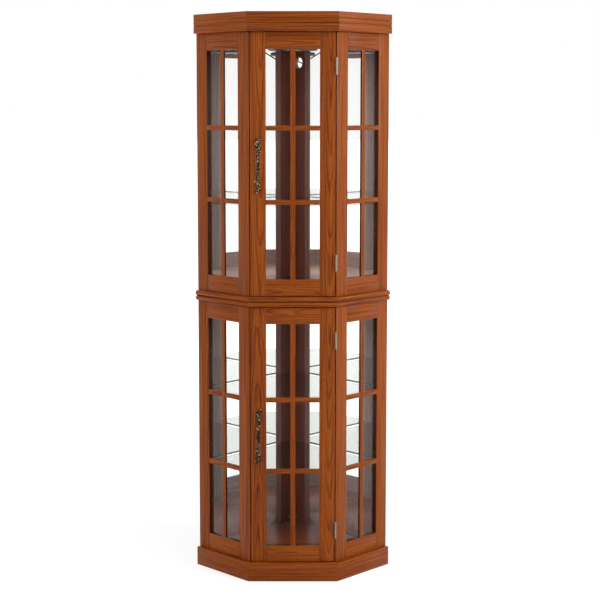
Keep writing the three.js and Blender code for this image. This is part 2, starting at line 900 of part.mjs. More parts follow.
// A path whose steps follow its points, so that bends get as many steps as straight runs
class RoutePath extends THREE.CatmullRomCurve3 {
  getPointAt(share, target) {
    return this.getPoint(share, target);
  }

  getTangentAt(share, target) {
    return this.getTangent(share, target);
  }
}

function lampCord(route) {
  const radius = cordDiameter / 2;
  const section = new THREE.Shape();
  for (let side = 0; side < cordSides; side++) {
    const angle = (2 * Math.PI * side) / cordSides;
    const place = [radius * Math.cos(angle), radius * Math.sin(angle)];
    side ? section.lineTo(...place) : section.moveTo(...place);
  }
  section.closePath();
  return new THREE.ExtrudeGeometry(section, {
    steps: 78,
    extrudePath: new RoutePath(route),
    bevelEnabled: false,
  });
}

// The coil starts where the cord ends, winds in and out again, and climbs a layer half way
function coilPoints(start) {
  const heading = new THREE.Vector2(1, -1).multiplyScalar(diagonal);
  const away = new THREE.Vector2(1, 1).multiplyScalar(diagonal);
  const half = coilTurns / 2;
  const outerRadius = coilMeanRadius + (coilPitch * half) / 2;
  const centre = new THREE.Vector2(start.x, start.y)
    .addScaledVector(heading, seatGap + cordDiameter)
    .addScaledVector(away, outerRadius);
  const toward = new THREE.Vector3(heading.x, heading.y, 0);
  const points = [start.clone().addScaledVector(toward, seatGap)];
  const count = coilTurns * coilSteps;
  const startAngle = Math.atan2(-away.y, -away.x);
  for (let step = 0; step <= count; step++) {
    const turn = step / coilSteps;
    const radius = outerRadius - coilPitch * (half - Math.abs(half - turn));
    const climb = THREE.MathUtils.smoothstep(turn, half - coilClimb / 2, half + coilClimb / 2);
    const angle = startAngle + 2 * Math.PI * turn;
    points.push(
      new THREE.Vector3(
        centre.x + radius * Math.cos(angle),
        centre.y + radius * Math.sin(angle),
        cordFloorZ + coilPitch * climb,
      ),
    );
  }
  const end = points.at(-1);
  const plugHeight = plugThickness / 2 + floorGap;
  for (const share of coilTailShares) {
    const point = end.clone().addScaledVector(toward, -coilTail * share);
    point.z = THREE.MathUtils.lerp(end.z, plugHeight, THREE.MathUtils.smoothstep(share, 0, 1));
    points.push(point);
  }
  points.push(points.at(-1).clone().addScaledVector(toward, -cordDiameter));
  return points;
}

// A tube of few sides round points that lie close together, closed at both ends
function tubeRound(points, radius, sides) {
  const up = new THREE.Vector3(0, 0, 1);
  const circle = [];
  for (let side = 0; side < sides; side++) {
    const angle = (2 * Math.PI * (side + 0.5)) / sides;
    circle.push(new THREE.Vector2(radius * Math.cos(angle), radius * Math.sin(angle)));
  }
  const rings = points.map((point, i) => {
    const before = points[Math.max(i - 1, 0)];
    const after = points[Math.min(i + 1, points.length - 1)];
    const along = new THREE.Vector3().subVectors(after, before).normalize();
    const across = new THREE.Vector3().crossVectors(up, along).normalize();
    const rise = new THREE.Vector3().crossVectors(along, across);
    return circle.map(({ x, y }) =>
      point.clone().addScaledVector(across, x).addScaledVector(rise, y),
    );
  });
  return loft(rings, circle);
}

// Least space between two turns, measured between points further apart than a quarter turn
function leastGap(points) {
  const apart = coilSteps / 4;
  let least = Infinity;
  points.forEach((a, i) => {
    for (const b of points.slice(i + apart)) least = Math.min(least, a.distanceTo(b));
  });
  return least - cordDiameter;
}

// The plug lies beside the coil: a flat body, a collar round its lead and two blades
function plug() {
  const shape = new THREE.Shape();
  const halfWide = plugWidth / 2;
  const halfThick = plugThickness / 2;
  shape.moveTo(-halfWide + plugEase, -halfThick);
  shape.lineTo(halfWide - plugEase, -halfThick);
  shape.lineTo(halfWide, -halfThick + plugEase);
  shape.lineTo(halfWide, halfThick - plugEase);
  shape.lineTo(halfWide - plugEase, halfThick);
  shape.lineTo(-halfWide + plugEase, halfThick);
  shape.lineTo(-halfWide, halfThick - plugEase);
  shape.lineTo(-halfWide, -halfThick + plugEase);
  const body = new THREE.ExtrudeGeometry(shape, { depth: plugLength, bevelEnabled: false });
  body.translate(0, 0, plugCollarLength);
  const collarLength = plugCollarLength + overrun;
  const collar = new THREE.CylinderGeometry(
    plugCollarRootDiameter / 2,
    plugCollarDiameter / 2,
    collarLength,
    10,
  );
  collar.rotateX(Math.PI / 2).translate(0, 0, collarLength / 2);
  const front = plugCollarLength + plugLength;
  const blades = [-1, 1].map((sign) =>
    box(
      new THREE.Vector3(
        (sign * plugBladeSpacing - plugBladeThickness) / 2,
        -plugBladeWidth / 2,
        front - overrun,
      ),
      new THREE.Vector3(
        (sign * plugBladeSpacing + plugBladeThickness) / 2,
        plugBladeWidth / 2,
        front + plugBladeLength,
      ),
    ),
  );
  return join(body, collar, ...blades);
}

// One glazed bay: side frames, walls, mirrors, corner post, shelves and its hinged door
function bay(unit, height, shelves, hasCableHole) {
  const group = new THREE.Group();
  group.position.z = height;
  const shelfTops = Object.values(shelves);
  for (const side of ["left", "right"]) {
    const hand = handed(side);
    const name = `${unit}_${side}`;
    hand.add(piece(`${name}_side_frame`, sideFrame(shelfTops), materials.wood));
    hand.add(piece(`${name}_side_lattice`, sideLattice(), materials.wood));
    hand.add(piece(`${name}_side_glass`, sideGlass(), materials.glass));
    hand.add(piece(`${name}_wall_board`, wallBoard(), materials.darkWood));
    hand.add(piece(`${name}_mirror`, mirrorPane(), materials.mirror));
    group.add(hand);
  }
  group.add(piece(`${unit}_corner_post`, cornerPost(shelfTops, hasCableHole), materials.darkWood));
  for (const [name, top] of Object.entries(shelves)) {
    group.add(piece(name, shelf(), materials.glass, top));
  }
  group.add(piece(`${unit}_magnet_catch`, magnetCatch(), materials.black));
  group.add(piece(`${unit}_door_frame`, doorFrame(), materials.wood));
  group.add(piece(`${unit}_door_lattice`, doorLattice(), materials.wood));
  group.add(piece(`${unit}_door_glass`, doorGlass(), materials.glass));
  group.add(piece(`${unit}_door_pull`, doorPull(), materials.bronze));
  const hingeHeights = {
    bottom: doorEndGap + hingeFromEnd,
    top: bayHeight - doorEndGap - hingeFromEnd - hingeHeight,
  };
  for (const [end, low] of Object.entries(hingeHeights)) {
    group.add(piece(`${unit}_${end}_hinge_fixed_leaf`, hingeFixedLeaf(), materials.nickel, low));
    group.add(piece(`${unit}_${end}_hinge_door_leaf`, hingeDoorLeaf(), materials.nickel, low));
  }
  return group;
}

function lamp() {
  const group = new THREE.Group();
  group.position.set(0, lampY, upperTopZ);
  group.add(piece("lamp_housing", lampHousing(), materials.black));
  group.add(piece("lamp_dish", lampDish(), materials.nickel));
  group.add(piece("lamp_lens", lampLens(), materials.lens));
  return group;
}

function cordAndPlug() {
  const group = new THREE.Group();
  const route = cordRoute();
  const points = coilPoints(route.at(-1));
  group.add(piece("lamp_cord", lampCord(route), materials.black));
  group.add(piece("cord_coil", tubeRound(points, cordDiameter / 2, coilSides), materials.black));
  console.log(`cord coil: least gap between turns ${leastGap(points).toFixed(2)} mm`);
  const end = points.at(-1);
  const along = new THREE.Vector3(-diagonal, diagonal, 0);
  const plugMesh = piece("lamp_plug", plug(), materials.black);
  plugMesh.position.copy(end).addScaledVector(along, seatGap);
  const across = new THREE.Vector3(diagonal, diagonal, 0);
  const rise = new THREE.Vector3().crossVectors(along, across);
  plugMesh.quaternion.setFromRotationMatrix(new THREE.Matrix4().makeBasis(across, rise, along));
  group.add(plugMesh);
  return group;
}

function cabinet() {
  const group = new THREE.Group();
  const flatBoard = prism(pentagon(-trimLap - seatGap), 0, boardThickness);
  const floorZ = lowerBayZ - boardThickness;
  group.add(trimBoards("plinth", plinthProfile(), 0));
  group.add(piece("base_rear_rails", baseRearRails(), materials.darkWood));
  group.add(piece("lower_floor_board", flatBoard, materials.wood, floorZ));
  const lowerShelves = { lower_shelf_low: lowShelfTop, lower_shelf_high: highShelfTop };
  group.add(bay("lower", lowerBayZ, lowerShelves, false));
  const lowerTop = roundedBoard(lowerTopOverhang, boardThickness);
  group.add(piece("lower_top_board", lowerTop, materials.wood, lowerTopZ));
  const upperBottom = roundedBoard(overhang, boardThickness - seatGap);
  group.add(piece("upper_bottom_board", upperBottom, materials.wood, upperBottomZ + seatGap));
  group.add(bay("upper", upperBayZ, { upper_shelf: lowShelfTop }, true));
  group.add(piece("upper_top_board", flatBoard.clone(), materials.wood, upperTopZ));
  group.add(trimBoards("cornice", corniceProfile(), upperTopZ));
  group.add(lamp());
  group.add(cordAndPlug());
  return group;
}

export default cabinet();
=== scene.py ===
import math
import random

import bmesh
import bpy
from mathutils import Matrix, Vector


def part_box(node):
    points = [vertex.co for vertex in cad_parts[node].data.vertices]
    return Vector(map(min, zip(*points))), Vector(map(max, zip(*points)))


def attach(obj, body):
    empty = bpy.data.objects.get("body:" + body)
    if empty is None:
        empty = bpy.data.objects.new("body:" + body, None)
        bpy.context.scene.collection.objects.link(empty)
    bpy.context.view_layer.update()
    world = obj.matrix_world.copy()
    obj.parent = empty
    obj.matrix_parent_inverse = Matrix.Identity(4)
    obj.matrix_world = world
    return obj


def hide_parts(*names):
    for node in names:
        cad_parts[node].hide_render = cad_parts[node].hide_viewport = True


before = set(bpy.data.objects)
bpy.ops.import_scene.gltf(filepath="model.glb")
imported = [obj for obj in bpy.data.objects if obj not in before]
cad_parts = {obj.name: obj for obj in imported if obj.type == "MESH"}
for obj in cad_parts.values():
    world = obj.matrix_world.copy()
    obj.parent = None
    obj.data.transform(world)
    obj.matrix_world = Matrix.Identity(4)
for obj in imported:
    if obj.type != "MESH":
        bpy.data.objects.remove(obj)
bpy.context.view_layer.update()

# The room: white studio paper below and behind, a soft lamp on each side and one above.
# The camera stands at eye height in front of the doors, tipped down, with a little shift.


class Value:
    """What a node gives. Numbers join in expressions, and each operator adds its Math node."""

    def __init__(self, finish, socket):
        self.finish = finish
        self.socket = socket

    def math(self, operation, *others):
        return self.finish.math(operation, self, *others)

    def __add__(self, other):
        return self.math("ADD", other)

    def __sub__(self, other):
        return self.math("SUBTRACT", other)

    def __rsub__(self, other):
        return self.finish.math("SUBTRACT", other, self)

    def __mul__(self, other):
        return self.math("MULTIPLY", other)

    def __truediv__(self, other):
        return self.math("DIVIDE", other)

    def __pow__(self, other):
        return self.math("POWER", other)

    __radd__ = __add__
    __rmul__ = __mul__

    def eased(self, low, high):
        """From 0 to 1 between two values, with soft ends"""
        settings = {"interpolation_type": "SMOOTHSTEP"}
        inputs = {"Value": self, "From Min": low, "From Max": high}
        return self.finish.node("ShaderNodeMapRange", settings, inputs)


class Finish:
    """A material as it is made: node() adds any node, and close() gives it its surface."""

    def __init__(self, name, world=None):
        self.owner = world or bpy.data.materials.new(name)
        self.end = "ShaderNodeOutputWorld" if world else "ShaderNodeOutputMaterial"
        self.owner.use_nodes = True
        self.tree = self.owner.node_tree
        self.tree.nodes.clear()

    def node(self, kind, settings=None, inputs=None, output=0):
        made = self.tree.nodes.new(kind)
        for name, value in (settings or {}).items():
            setattr(made, name, value)
        for key, value in (inputs or {}).items():
            if isinstance(value, Value):
                self.tree.links.new(value.socket, made.inputs[key])
            else:
                made.inputs[key].default_value = value
        return Value(self, made.outputs[output]) if len(made.outputs) else None

    def math(self, operation, *operands):
        return self.node("ShaderNodeMath", {"operation": operation}, dict(enumerate(operands)))

    def mix(self, share, first, second):
        """Two colours by a share: its colour sockets have the numbers 6 and 7"""
        inputs = {0: share, 6: first, 7: second}
        return self.node("ShaderNodeMix", {"data_type": "RGBA"}, inputs, output=2)

    def blend(self, share, first, second):
        return self.node("ShaderNodeMixShader", {}, {0: share, 1: first, 2: second})

    def place(self, kind="Object"):
        return self.node("ShaderNodeTexCoord", output=kind)

    def parts(self, vector):
        kind = "ShaderNodeSeparateXYZ"
        return [self.node(kind, {}, {"Vector": vector}, output=axis) for axis in "XYZ"]

    def noise(self, place, scale, detail=2.0):
        inputs = {"Vector": place, "Scale": scale, "Detail": detail}
        return self.node("ShaderNodeTexNoise", {}, inputs)

    def bump(self, height, distance):
        return self.node("ShaderNodeBump", {}, {"Height": height, "Distance": distance})

    def surface(self, **inputs):
        named = {name.replace("_", " "): value for name, value in inputs.items()}
        return self.node("ShaderNodeBsdfPrincipled", {}, named)

    def coated(self, **inputs):
        return self.close(self.surface(**inputs))

    def seen_as_paper(self, in_glass=1.2):
        """Shown white to the camera, and stronger in glass and mirrors, which lose a little"""
        camera, glossy, through = (
            self.node("ShaderNodeLightPath", output=f"Is {ray} Ray")
            for ray in ("Camera", "Glossy", "Transmission")
        )
        return camera.math("MAXIMUM", (glossy + through).math("MINIMUM", 1.0) * in_glass)

    def close(self, surface):
        self.node(self.end, {}, {"Surface": surface})
        return self.owner


white = (1.0, 1.0, 1.0, 1.0)


def ink(red, green, blue):
    """A colour as a screen shows it, 0 to 255, in linear numbers"""
    linear = [((part / 255 + 0.055) / 1.055) ** 2.4 for part in (red, green, blue)]
    return (*linear, 1.0)


def level(outline, height):
    return [(x, y, height) for x, y in outline]


def rectangle(x_ends, y_ends):
    (west, east), (south, north) = x_ends, y_ends
    return [(west, south), (east, south), (east, north), (west, north)]


def placed(name, data):
    thing = bpy.data.objects.new(name, data)
    bpy.context.scene.collection.objects.link(thing)
    return thing


def aim(thing, place, target):
    thing.location = place
    heading = Vector(target) - Vector(place)
    thing.rotation_euler = heading.to_track_quat("-Z", "Y").to_euler()
    return thing


def softbox(name, place, size, power):
    lamp = bpy.data.lights.new(name, "AREA")
    lamp.shape = "SQUARE"
    lamp.size = size
    lamp.energy = power
    aim(placed(name, lamp), place, lamp_target)


def surroundings(light=0.5):
    """Plain light all round, white to the camera"""
    bpy.context.scene.world = bpy.data.worlds.new("studio")
    finish = Finish("studio", bpy.context.scene.world)
    strength = light + finish.seen_as_paper() * (1 - light)
    finish.close(finish.node("ShaderNodeBackground", {}, {"Color": white, "Strength": strength}))


def paper(near_glow=0.62, far_gain=0.45, near=0.8, far=4.0):
    """Paper that takes a soft shadow round the cabinet's foot and is white further off"""
    finish = Finish("studio_paper")
    lit = finish.surface(Base_Color=(0.5, 0.5, 0.5, 1.0), Roughness=0.9)
    length = {"operation": "LENGTH"}
    away = finish.node("ShaderNodeVectorMath", length, {0: finish.place()}, output="Value")
    strength = finish.seen_as_paper() * (near_glow + away.eased(near, far) * far_gain)
    glow = finish.node("ShaderNodeEmission", {}, {"Strength": strength})
    return finish.close(finish.node("ShaderNodeAddShader", {}, {0: lit, 1: glow}))


door_low, door_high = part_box("upper_door_frame")
front_y = door_low.y
frame_pixels = 600
focal_pixels = 1411
object_pixels_left = 7.2
horizon_pixels_up = 193
shift_pixels_down = 39
camera_distance = 4.385
camera_height = 1.508
lamp_target = (0, 0, 0.95)
paper_ends = (-60, 60)

camera_data = bpy.data.cameras.new("camera")
camera_data.sensor_width = 36
camera_data.lens = focal_pixels / frame_pixels * camera_data.sensor_width
camera_data.shift_x = object_pixels_left / frame_pixels
camera_data.shift_y = -shift_pixels_down / frame_pixels
pitch = math.atan((horizon_pixels_up - shift_pixels_down) / focal_pixels)
camera_place = Vector((0, front_y - camera_distance, camera_height))
camera_aim = camera_place + Vector((0, math.cos(pitch), -math.sin(pitch)))
bpy.context.scene.camera = aim(placed("camera", camera_data), camera_place, camera_aim)
bpy.context.scene.view_settings.view_transform = "Standard"

softbox("key_lamp", place=(4.1, -1.8, 2.4), size=2.4, power=172)
softbox("fill_lamp", place=(-3.9, -2.7, 2.5), size=2.4, power=92)
softbox("top_lamp", place=(0.0, -0.8, 4.2), size=2.2, power=26)
surroundings()

floor_mesh = bpy.data.meshes.new("studio_floor")
floor_mesh.from_pydata(level(rectangle(paper_ends, paper_ends), 0), [], [(0, 1, 2, 3)])
floor_mesh.materials.append(paper())
floor = placed("studio_floor", floor_mesh)

# The lamp's cord: black rubber, 4 mm thick, from the canister's boss over the dish, out through
# the hole in the post board and down the wall, its spare length coiled on the floor by its plug.

diagonal = math.sqrt(0.5)
seat_gap = 0.0003
board_thickness = 0.016
hole_from_corner = 0.027
hole_drop = 0.083
corner_land = 0.001
lamp_radius = 0.032
boss_length = 0.005
boss_drop = 0.018
cord_diameter = 0.004
cord_standoff = 0.027
bend_drop = 0.097
fall_steps = 12
floor_bend = 0.060
floor_run = 0.065
floor_gap = 0.0002
coil_turns = 4.5
coil_steps = 24
coil_pitch = 0.0046
coil_mean_radius = 0.022
coil_climb = 0.5
coil_tail = 0.014
plug_thickness = 0.017

along_wall = Vector((diagonal, -diagonal, 0))
out_of_wall = Vector((diagonal, diagonal, 0))
near_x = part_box("upper_right_side_frame")[0].x + corner_land
outer_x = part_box("upper_right_side_frame")[1].x
side_run = outer_x - near_x
side_width = side_run / diagonal
wall_length = outer_x / diagonal
apex_y = front_y + side_run + outer_x
ceiling_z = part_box("upper_top_board")[0].z
lamp_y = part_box("lamp_dish")[0].lerp(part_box("lamp_dish")[1], 0.5).y


def wall_point(along, inward, sign=1):
    """In plan on a back wall: along it from the outer corner, and inward from its back"""
    across = outer_x - (along + inward) * diagonal
    return sign * across, front_y + side_run + (along - inward) * diagonal


def plan(point_at, corners, sign):
    return [point_at(along, inward, sign) for along, inward in corners]


def smooth_step(share):
    share = min(max(share, 0), 1)
    return share * share * (3 - 2 * share)


def bend(start, end, shares):
    """Points from a start to an end, by shares of the way in plan and of the drop"""
    points = [start.lerp(end, way) for way, drop in shares]
    for point, (way, drop) in zip(points, shares):
        point.z = start.z + (end.z - start.z) * drop
    return points


def cord_bends(hole):
    """From the boss over the dish to the hole, out, down the wall and along the floor"""
    inside = [(0, 0), (0.09, 0), (0.25, 0.04), (0.44, 0.17)]
    inside += [(0.63, 0.41), (0.78, 0.65), (0.9, 0.83), (0.98, 0.93)]
    outside = [(0.35, 0.01), (0.62, 0.09), (0.85, 0.26), (0.97, 0.53), (1, 1)]
    fall = [(0, (step + 1) / fall_steps) for step in range(fall_steps)]
    on_floor = [(0.02, 0.49), (0.12, 0.83), (0.35, 0.98), (0.65, 1), (1, 1)]
    from_lamp = Vector((hole.x, hole.y - lamp_y, 0)).normalized()
    boss = Vector((0, lamp_y, ceiling_z - boss_drop))
    boss += from_lamp * (lamp_radius + boss_length + seat_gap)
    wall = hole + out_of_wall * (board_thickness + cord_standoff) - Vector((0, 0, bend_drop))
    foot = Vector((wall.x, wall.y, floor_bend))
    rest = foot + along_wall * floor_run
    rest.z = cord_diameter / 2 + floor_gap
    points = bend(boss, hole, inside) + bend(hole, wall, outside)
    return points + bend(wall, foot, fall) + bend(foot, rest, on_floor)


def coil_points(start):
    """The spare length winds in and out again, climbs a layer half way, and ends at the plug"""
    half = coil_turns / 2
    outer = coil_mean_radius + coil_pitch * half / 2
    centre = start + along_wall * (seat_gap + cord_diameter) + out_of_wall * outer
    start_angle = math.atan2(-out_of_wall.y, -out_of_wall.x)
    points = []
    for step in range(int(coil_turns * coil_steps) + 1):
        turn = step / coil_steps
        radius = outer - coil_pitch * (half - abs(half - turn))
        climb = smooth_step((turn - half) / coil_climb + 0.5)
        angle = start_angle + 2 * math.pi * turn
        reach = Vector((math.cos(angle), math.sin(angle), 0)) * radius
        points.append(centre + reach + Vector((0, 0, coil_pitch * climb)))
    end = points[-1]
    for share in (0.6, 1):
        point = end - along_wall * (coil_tail * share)
        point.z = end.z + (plug_thickness / 2 + floor_gap - end.z) * smooth_step(share)
        points.append(point)
    return [*points, points[-1] - along_wall * cord_diameter]


def cord_curve(points, material):
    curve = bpy.data.curves.new("lamp_cord_run", "CURVE")
    curve.dimensions = "3D"
    curve.bevel_depth = cord_diameter / 2
    curve.bevel_resolution = 4
    curve.resolution_u = 6
    curve.use_fill_caps = True
    spline = curve.splines.new("BEZIER")
    spline.bezier_points.add(len(points) - 1)
    for knot, point in zip(spline.bezier_points, points):
        knot.co = point
        knot.handle_left_type = knot.handle_right_type = "AUTO"
    curve.materials.append(material)
    return placed("lamp_cord_run", curve)


def coat(name, inks, roughness, scale=180, detail=4, spread=0.1, relief=0.00006, **more):
    """A coat, moulding or casting with a fine relief, of one colour or clouded between two.
    Metal is rubbed bright in patches."""
    finish = Finish(name)
    cloud = finish.noise(finish.place(), scale, detail)
    share = cloud.eased(0.54, 0.68) if "Metallic" in more else cloud
    more["Base_Color"] = finish.mix(share, *inks) if len(inks) == 2 else inks[0]
    relief = finish.bump(cloud, relief)
    return finish.coated(Roughness=roughness + cloud * spread, Normal=relief, **more)


def dress(node, material):
    """A part of the frame keeps its shape and takes its finish"""
    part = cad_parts[node]
    part.data.materials.clear()
    part.data.materials.append(material)
    return part


def ease(node, width, material):
    """The same, with its edges eased"""
    part = dress(node, material)
    part.modifiers.new("weld", "WELD").merge_threshold = 0.00001
    bevel = part.modifiers.new("eased_edges", "BEVEL")
    bevel.limit_method = "ANGLE"
    bevel.width = width
    bevel.segments = 2


def fit(piece, *nodes, body="cabinet", slot="oak"):
    """The piece stands for nodes, which it hides, and rides with its body; its slot is not used"""
    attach(piece, body)
    if nodes:
        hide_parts(*nodes)


hole_x, hole_y = wall_point(wall_length - board_thickness - hole_from_corner, board_thickness)
hole_middle = Vector((hole_x, hole_y, ceiling_z - hole_drop))
cord_points = cord_bends(hole_middle)
cord_points += coil_points(cord_points[-1])
rubber_inks = (ink(20, 20, 22), ink(34, 34, 36))
rubber = coat("cord_rubber", rubber_inks, 0.42, scale=900, detail=3, spread=0.2, relief=0.00008)
cord_run = cord_curve(cord_points, rubber)
fit(cord_run, "lamp_cord", "cord_coil", slot="cord_rubber")
ease("lamp_plug", 0.0006, rubber)
bpy.context.view_layer.update()

# The plinth: three oak boards on the floor, mitred at the corners and eased along the top.
# Two dark rails behind them hold up the floor board's back edges and meet in the room's corner.

hands = (("left", -1), ("right", 1))
sharp_angle = math.radians(35)
board_edge = 0.0006
log_length = 40
pith_depths = (0.006, 0.022)
grain_tilts = (0.018, 0.04)
ring_width = 0.0036
ring_sway = 0.007
ring_ripple = 0.005


class Boards:
    """Boards gathered into one mesh, each with its own eased edges, grain and tone.
    Straight ones are sawn beside the pith, the others through it, with a pointed figure."""

    def __init__(self, seed, straight=True):
        self.chance = random.Random(seed)
        self.pith_reach = (1.1, 1.9) if straight else (0, 0.6)
        self.points, self.faces = [], []
        self.grain, self.trunk, self.mark = [], [], []

    def stand(self, outline, low, high, *ways, **more):
        """A board that fills an outline in plan between two heights"""
        self.add(level(outline, low), level(outline, high), *ways, **more)

    def add(self, start, end, along, facing, edge=board_edge, marked_way=(0, 0, 0)):
        """A board between two rings of points, its grain along one way, its face to another"""
        shape = bmesh.new()
        rings = [[shape.verts.new(point) for point in ring] for ring in (start, end)]
        shape.faces.new(rings[0])
        shape.faces.new(rings[1][::-1])
        for i in range(len(start)):
            shape.faces.new((rings[0][i - 1], rings[1][i - 1], rings[1][i], rings[0][i]))
        bmesh.ops.recalc_face_normals(shape, faces=shape.faces)
        sharp = [line for line in shape.edges if line.calc_face_angle(0) > sharp_angle]
        bmesh.ops.bevel(shape, geom=sharp, offset=edge, segments=2, profile=0.5, affect="EDGES")
        self.gather(shape, Vector(along).normalized(), Vector(facing).normalized(), marked_way)

    def gather(self, shape, along, facing, marked_way):
        """Adds a shape with its place in the tree: along, across and deep, and from the pith.
        Its faces to the painted way are flagged for a painted colour: painted shade in some
        finishes and painted light in others."""
        chance = self.chance
        across = facing.cross(along)
        middle = sum((vert.co for vert in shape.verts), Vector()) / len(shape.verts)
        spread = max(abs((vert.co - middle).dot(across)) for vert in shape.verts)
        shift = Vector([chance.uniform(0, log_length) for _ in range(3)])
        reach = chance.uniform(*self.pith_reach)
        pith_side = chance.choice((-1, 1)) * reach * spread
        pith_depth = chance.uniform(*pith_depths)
        tilt = chance.choice((-1, 1)) * chance.uniform(*grain_tilts)
        tone = chance.uniform(-1, 1)
        first = len(self.points)
        shape.verts.index_update()
        for vert in shape.verts:
            offset = vert.co - middle
            length, width, depth = (offset.dot(way) for way in (along, across, facing))
            self.points.append(tuple(vert.co))
            self.grain.append(Vector((length, width, depth)) + shift)
            self.trunk.append((width - pith_side, pith_depth + depth + tilt * length, tone))
            widest = max(vert.link_faces, key=lambda face: face.calc_area())
            self.mark.append(float(widest.normal.dot(Vector(marked_way)) > 0.9))
        for face in shape.faces:
            self.faces.append([first + vert.index for vert in face.verts])
        shape.free()

    def make(self, name, material):
        mesh = bpy.data.meshes.new(name)
        mesh.from_pydata(self.points, [], self.faces)
        for label, values in (("grain", self.grain), ("trunk", self.trunk)):
            layer = mesh.attributes.new(label, "FLOAT_VECTOR", "POINT")
            layer.data.foreach_set("vector", [part for value in values for part in value])
        layer = mesh.attributes.new("mark", "FLOAT", "POINT")
        layer.data.foreach_set("value", self.mark)
        return place_mesh(mesh, material)


def place_mesh(mesh, material):
    mesh.shade_smooth()
    mesh.set_sharp_from_angle(angle=sharp_angle)
    mesh.materials.append(material)
    return placed(mesh.name, mesh)


def oak(name, stain, inside, marked, roughness, gloss, relief_depth=0.00018, cover=0.9):
    """Flat-sawn oak under a stain and a lacquer: pale, dark and pore are its three tones.
    Faces into the bay may take another two, a paler pair that is painted light, and the flagged
    faces one painted colour: painted shade in some finishes, painted light in others."""
    pale, dark, pore = stain
    finish = Finish(name)
    kind = "ShaderNodeAttribute"
    grain = finish.node(kind, {"attribute_name": "grain"}, output="Vector")
    trunk = finish.node(kind, {"attribute_name": "trunk"}, output="Vector")
    length, width, depth = finish.parts(grain)
    side, heart, tone = finish.parts(trunk)

    def cells(along, across, detail=2.0):
        """Noise in so many cells to a metre along the grain and across it"""
        inputs = {"X": length * along, "Y": width * across, "Z": depth * across}
        return finish.noise(finish.node("ShaderNodeCombineXYZ", {}, inputs), 1.0, detail)

    sway = cells(1.7, 9, 3.0) - 0.5
    ripple = cells(8, 25) - 0.5
    radius = (side * side + heart * heart) ** 0.5 + sway * ring_sway + ripple * ring_ripple
    ring = (radius / ring_width).math("FRACT")
    late = ring.eased(0.4, 0.9) * (1 - ring.eased(0.92, 1.0))
    streaks = cells(4, 230, 4.0) - 0.5
    drift = cells(1.0, 30) - 0.5
    open_pores = cells(60, 1500, 1.0).eased(0.55, 0.7) * (1 - late * 0.7)
    shade = 0.24 + late * 0.52 + streaks * 2.3 + drift * 0.5 + tone * 0.08
    colour = finish.mix(open_pores * 0.6, finish.mix(shade, pale, dark), pore)
    # Painted light: faces into the bay, seen mostly in the mirrors, are painted paler than the
    # stain
    if inside:
        normal_x, normal_y, _ = finish.parts(finish.place("Normal"))
        place_x = finish.parts(finish.place())[0]
        faces_out = (normal_x * place_x).eased(0.02, 0.06)
        painted_light_faces = normal_y.eased(0.35, 0.6) * (1 - faces_out)
        colour = finish.mix(painted_light_faces * cover, colour, finish.mix(shade, *inside))
    # The flagged faces take one painted colour: painted shade on reveals and rail tops, painted
    # light on corner board edges, battens and the upper floor
    if marked:
        mark = finish.node(kind, {"attribute_name": "mark"}, output="Fac")
        colour = finish.mix(mark * cover, colour, marked)
    surface = {"Base_Color": colour, "Specular_IOR_Level": gloss}
    surface["Roughness"] = roughness + streaks * 0.12 + open_pores * 0.15
    if relief_depth:
        surface["Normal"] = finish.bump(1 - open_pores * 0.8 - late * 0.15, relief_depth)
    return finish.coated(**surface)


def side_point(along, inward, sign):
    """In plan on a side panel: along it from the near corner, and inward from its face"""
    across = near_x + (along - inward) * diagonal
    return sign * across, front_y + (along + inward) * diagonal


def near_corner(offset, sign):
    """Near corner of a side, moved outward"""
    return sign * (near_x + offset * math.tan(math.pi / 8)), front_y - offset


def outer_corner(offset, sign):
    return side_point(side_width, -offset, sign)


def mitred(profile, base):
    """A moulding's front and side lengths, from its profile in outward offset and height:
    name, sign, the two ends stood up at their corners, and the way along"""

    def ring(corner, sign):
        return [(*corner(offset, sign), base + height) for offset, height in profile]

    near_left, near_right = ring(near_corner, -1), ring(near_corner, 1)
    return [
        ("front", 0, (near_left, near_right), (1, 0, 0)),
        ("left", -1, (near_left, ring(outer_corner, -1)), (-1, 1, 0)),
        ("right", 1, (near_right, ring(outer_corner, 1)), (1, 1, 0)),
    ]


def trim_boards(name, profile, base, seed):
    """A moulding's three lengths, each its own piece"""
    for hand, sign, ends, along in mitred(profile, base):
        board = Boards(seed + sign)
        board.add(*ends, along, (sign, -1, 0))
        fit(board.make(f"{name}_{hand}_board", stained_oak), f"{name}_{hand}")


warm_stain = (ink(156, 79, 21), ink(99, 37, 9), ink(60, 22, 7))
dark_stain = (ink(140, 74, 52), ink(86, 42, 31), ink(52, 25, 18))
stained_oak = oak("stained_oak", warm_stain, None, None, 0.34, 0.1)
# Painted light: the corner boards' edges by the mirrors take the paler flagged colour
dark_oak = oak("dark_oak", dark_stain, None, ink(140, 98, 90), 0.4, 0.2)
plinth_low, plinth_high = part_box("plinth_front")
overhang = front_y - plinth_low.y
trim_lap = plinth_high.y - front_y
plinth_ease = 0.0015
plinth_profile = [(-trim_lap, 0), (overhang, 0), (overhang, plinth_high.z - plinth_ease)]
plinth_profile += [(overhang - plinth_ease, plinth_high.z), (-trim_lap, plinth_high.z)]
trim_boards("plinth", plinth_profile, 0, seed=11)

rail_low, rail_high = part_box("base_rear_rails")
rail_end = trim_lap + seat_gap
inner_apex_y = apex_y - board_thickness / diagonal
rails = Boards(seed=21)
for hand, sign in hands:
    outer, inner = plan(wall_point, [(rail_end, 0), (rail_end, board_thickness)], sign)
    outline = [outer, (0, apex_y), (0, inner_apex_y), inner]
    rails.stand(outline, rail_low.z, rail_high.z, (-sign, 1, 0), (sign, 1, 0))
fit(rails.make("base_rails", dark_oak), "base_rear_rails", slot="dark_oak")

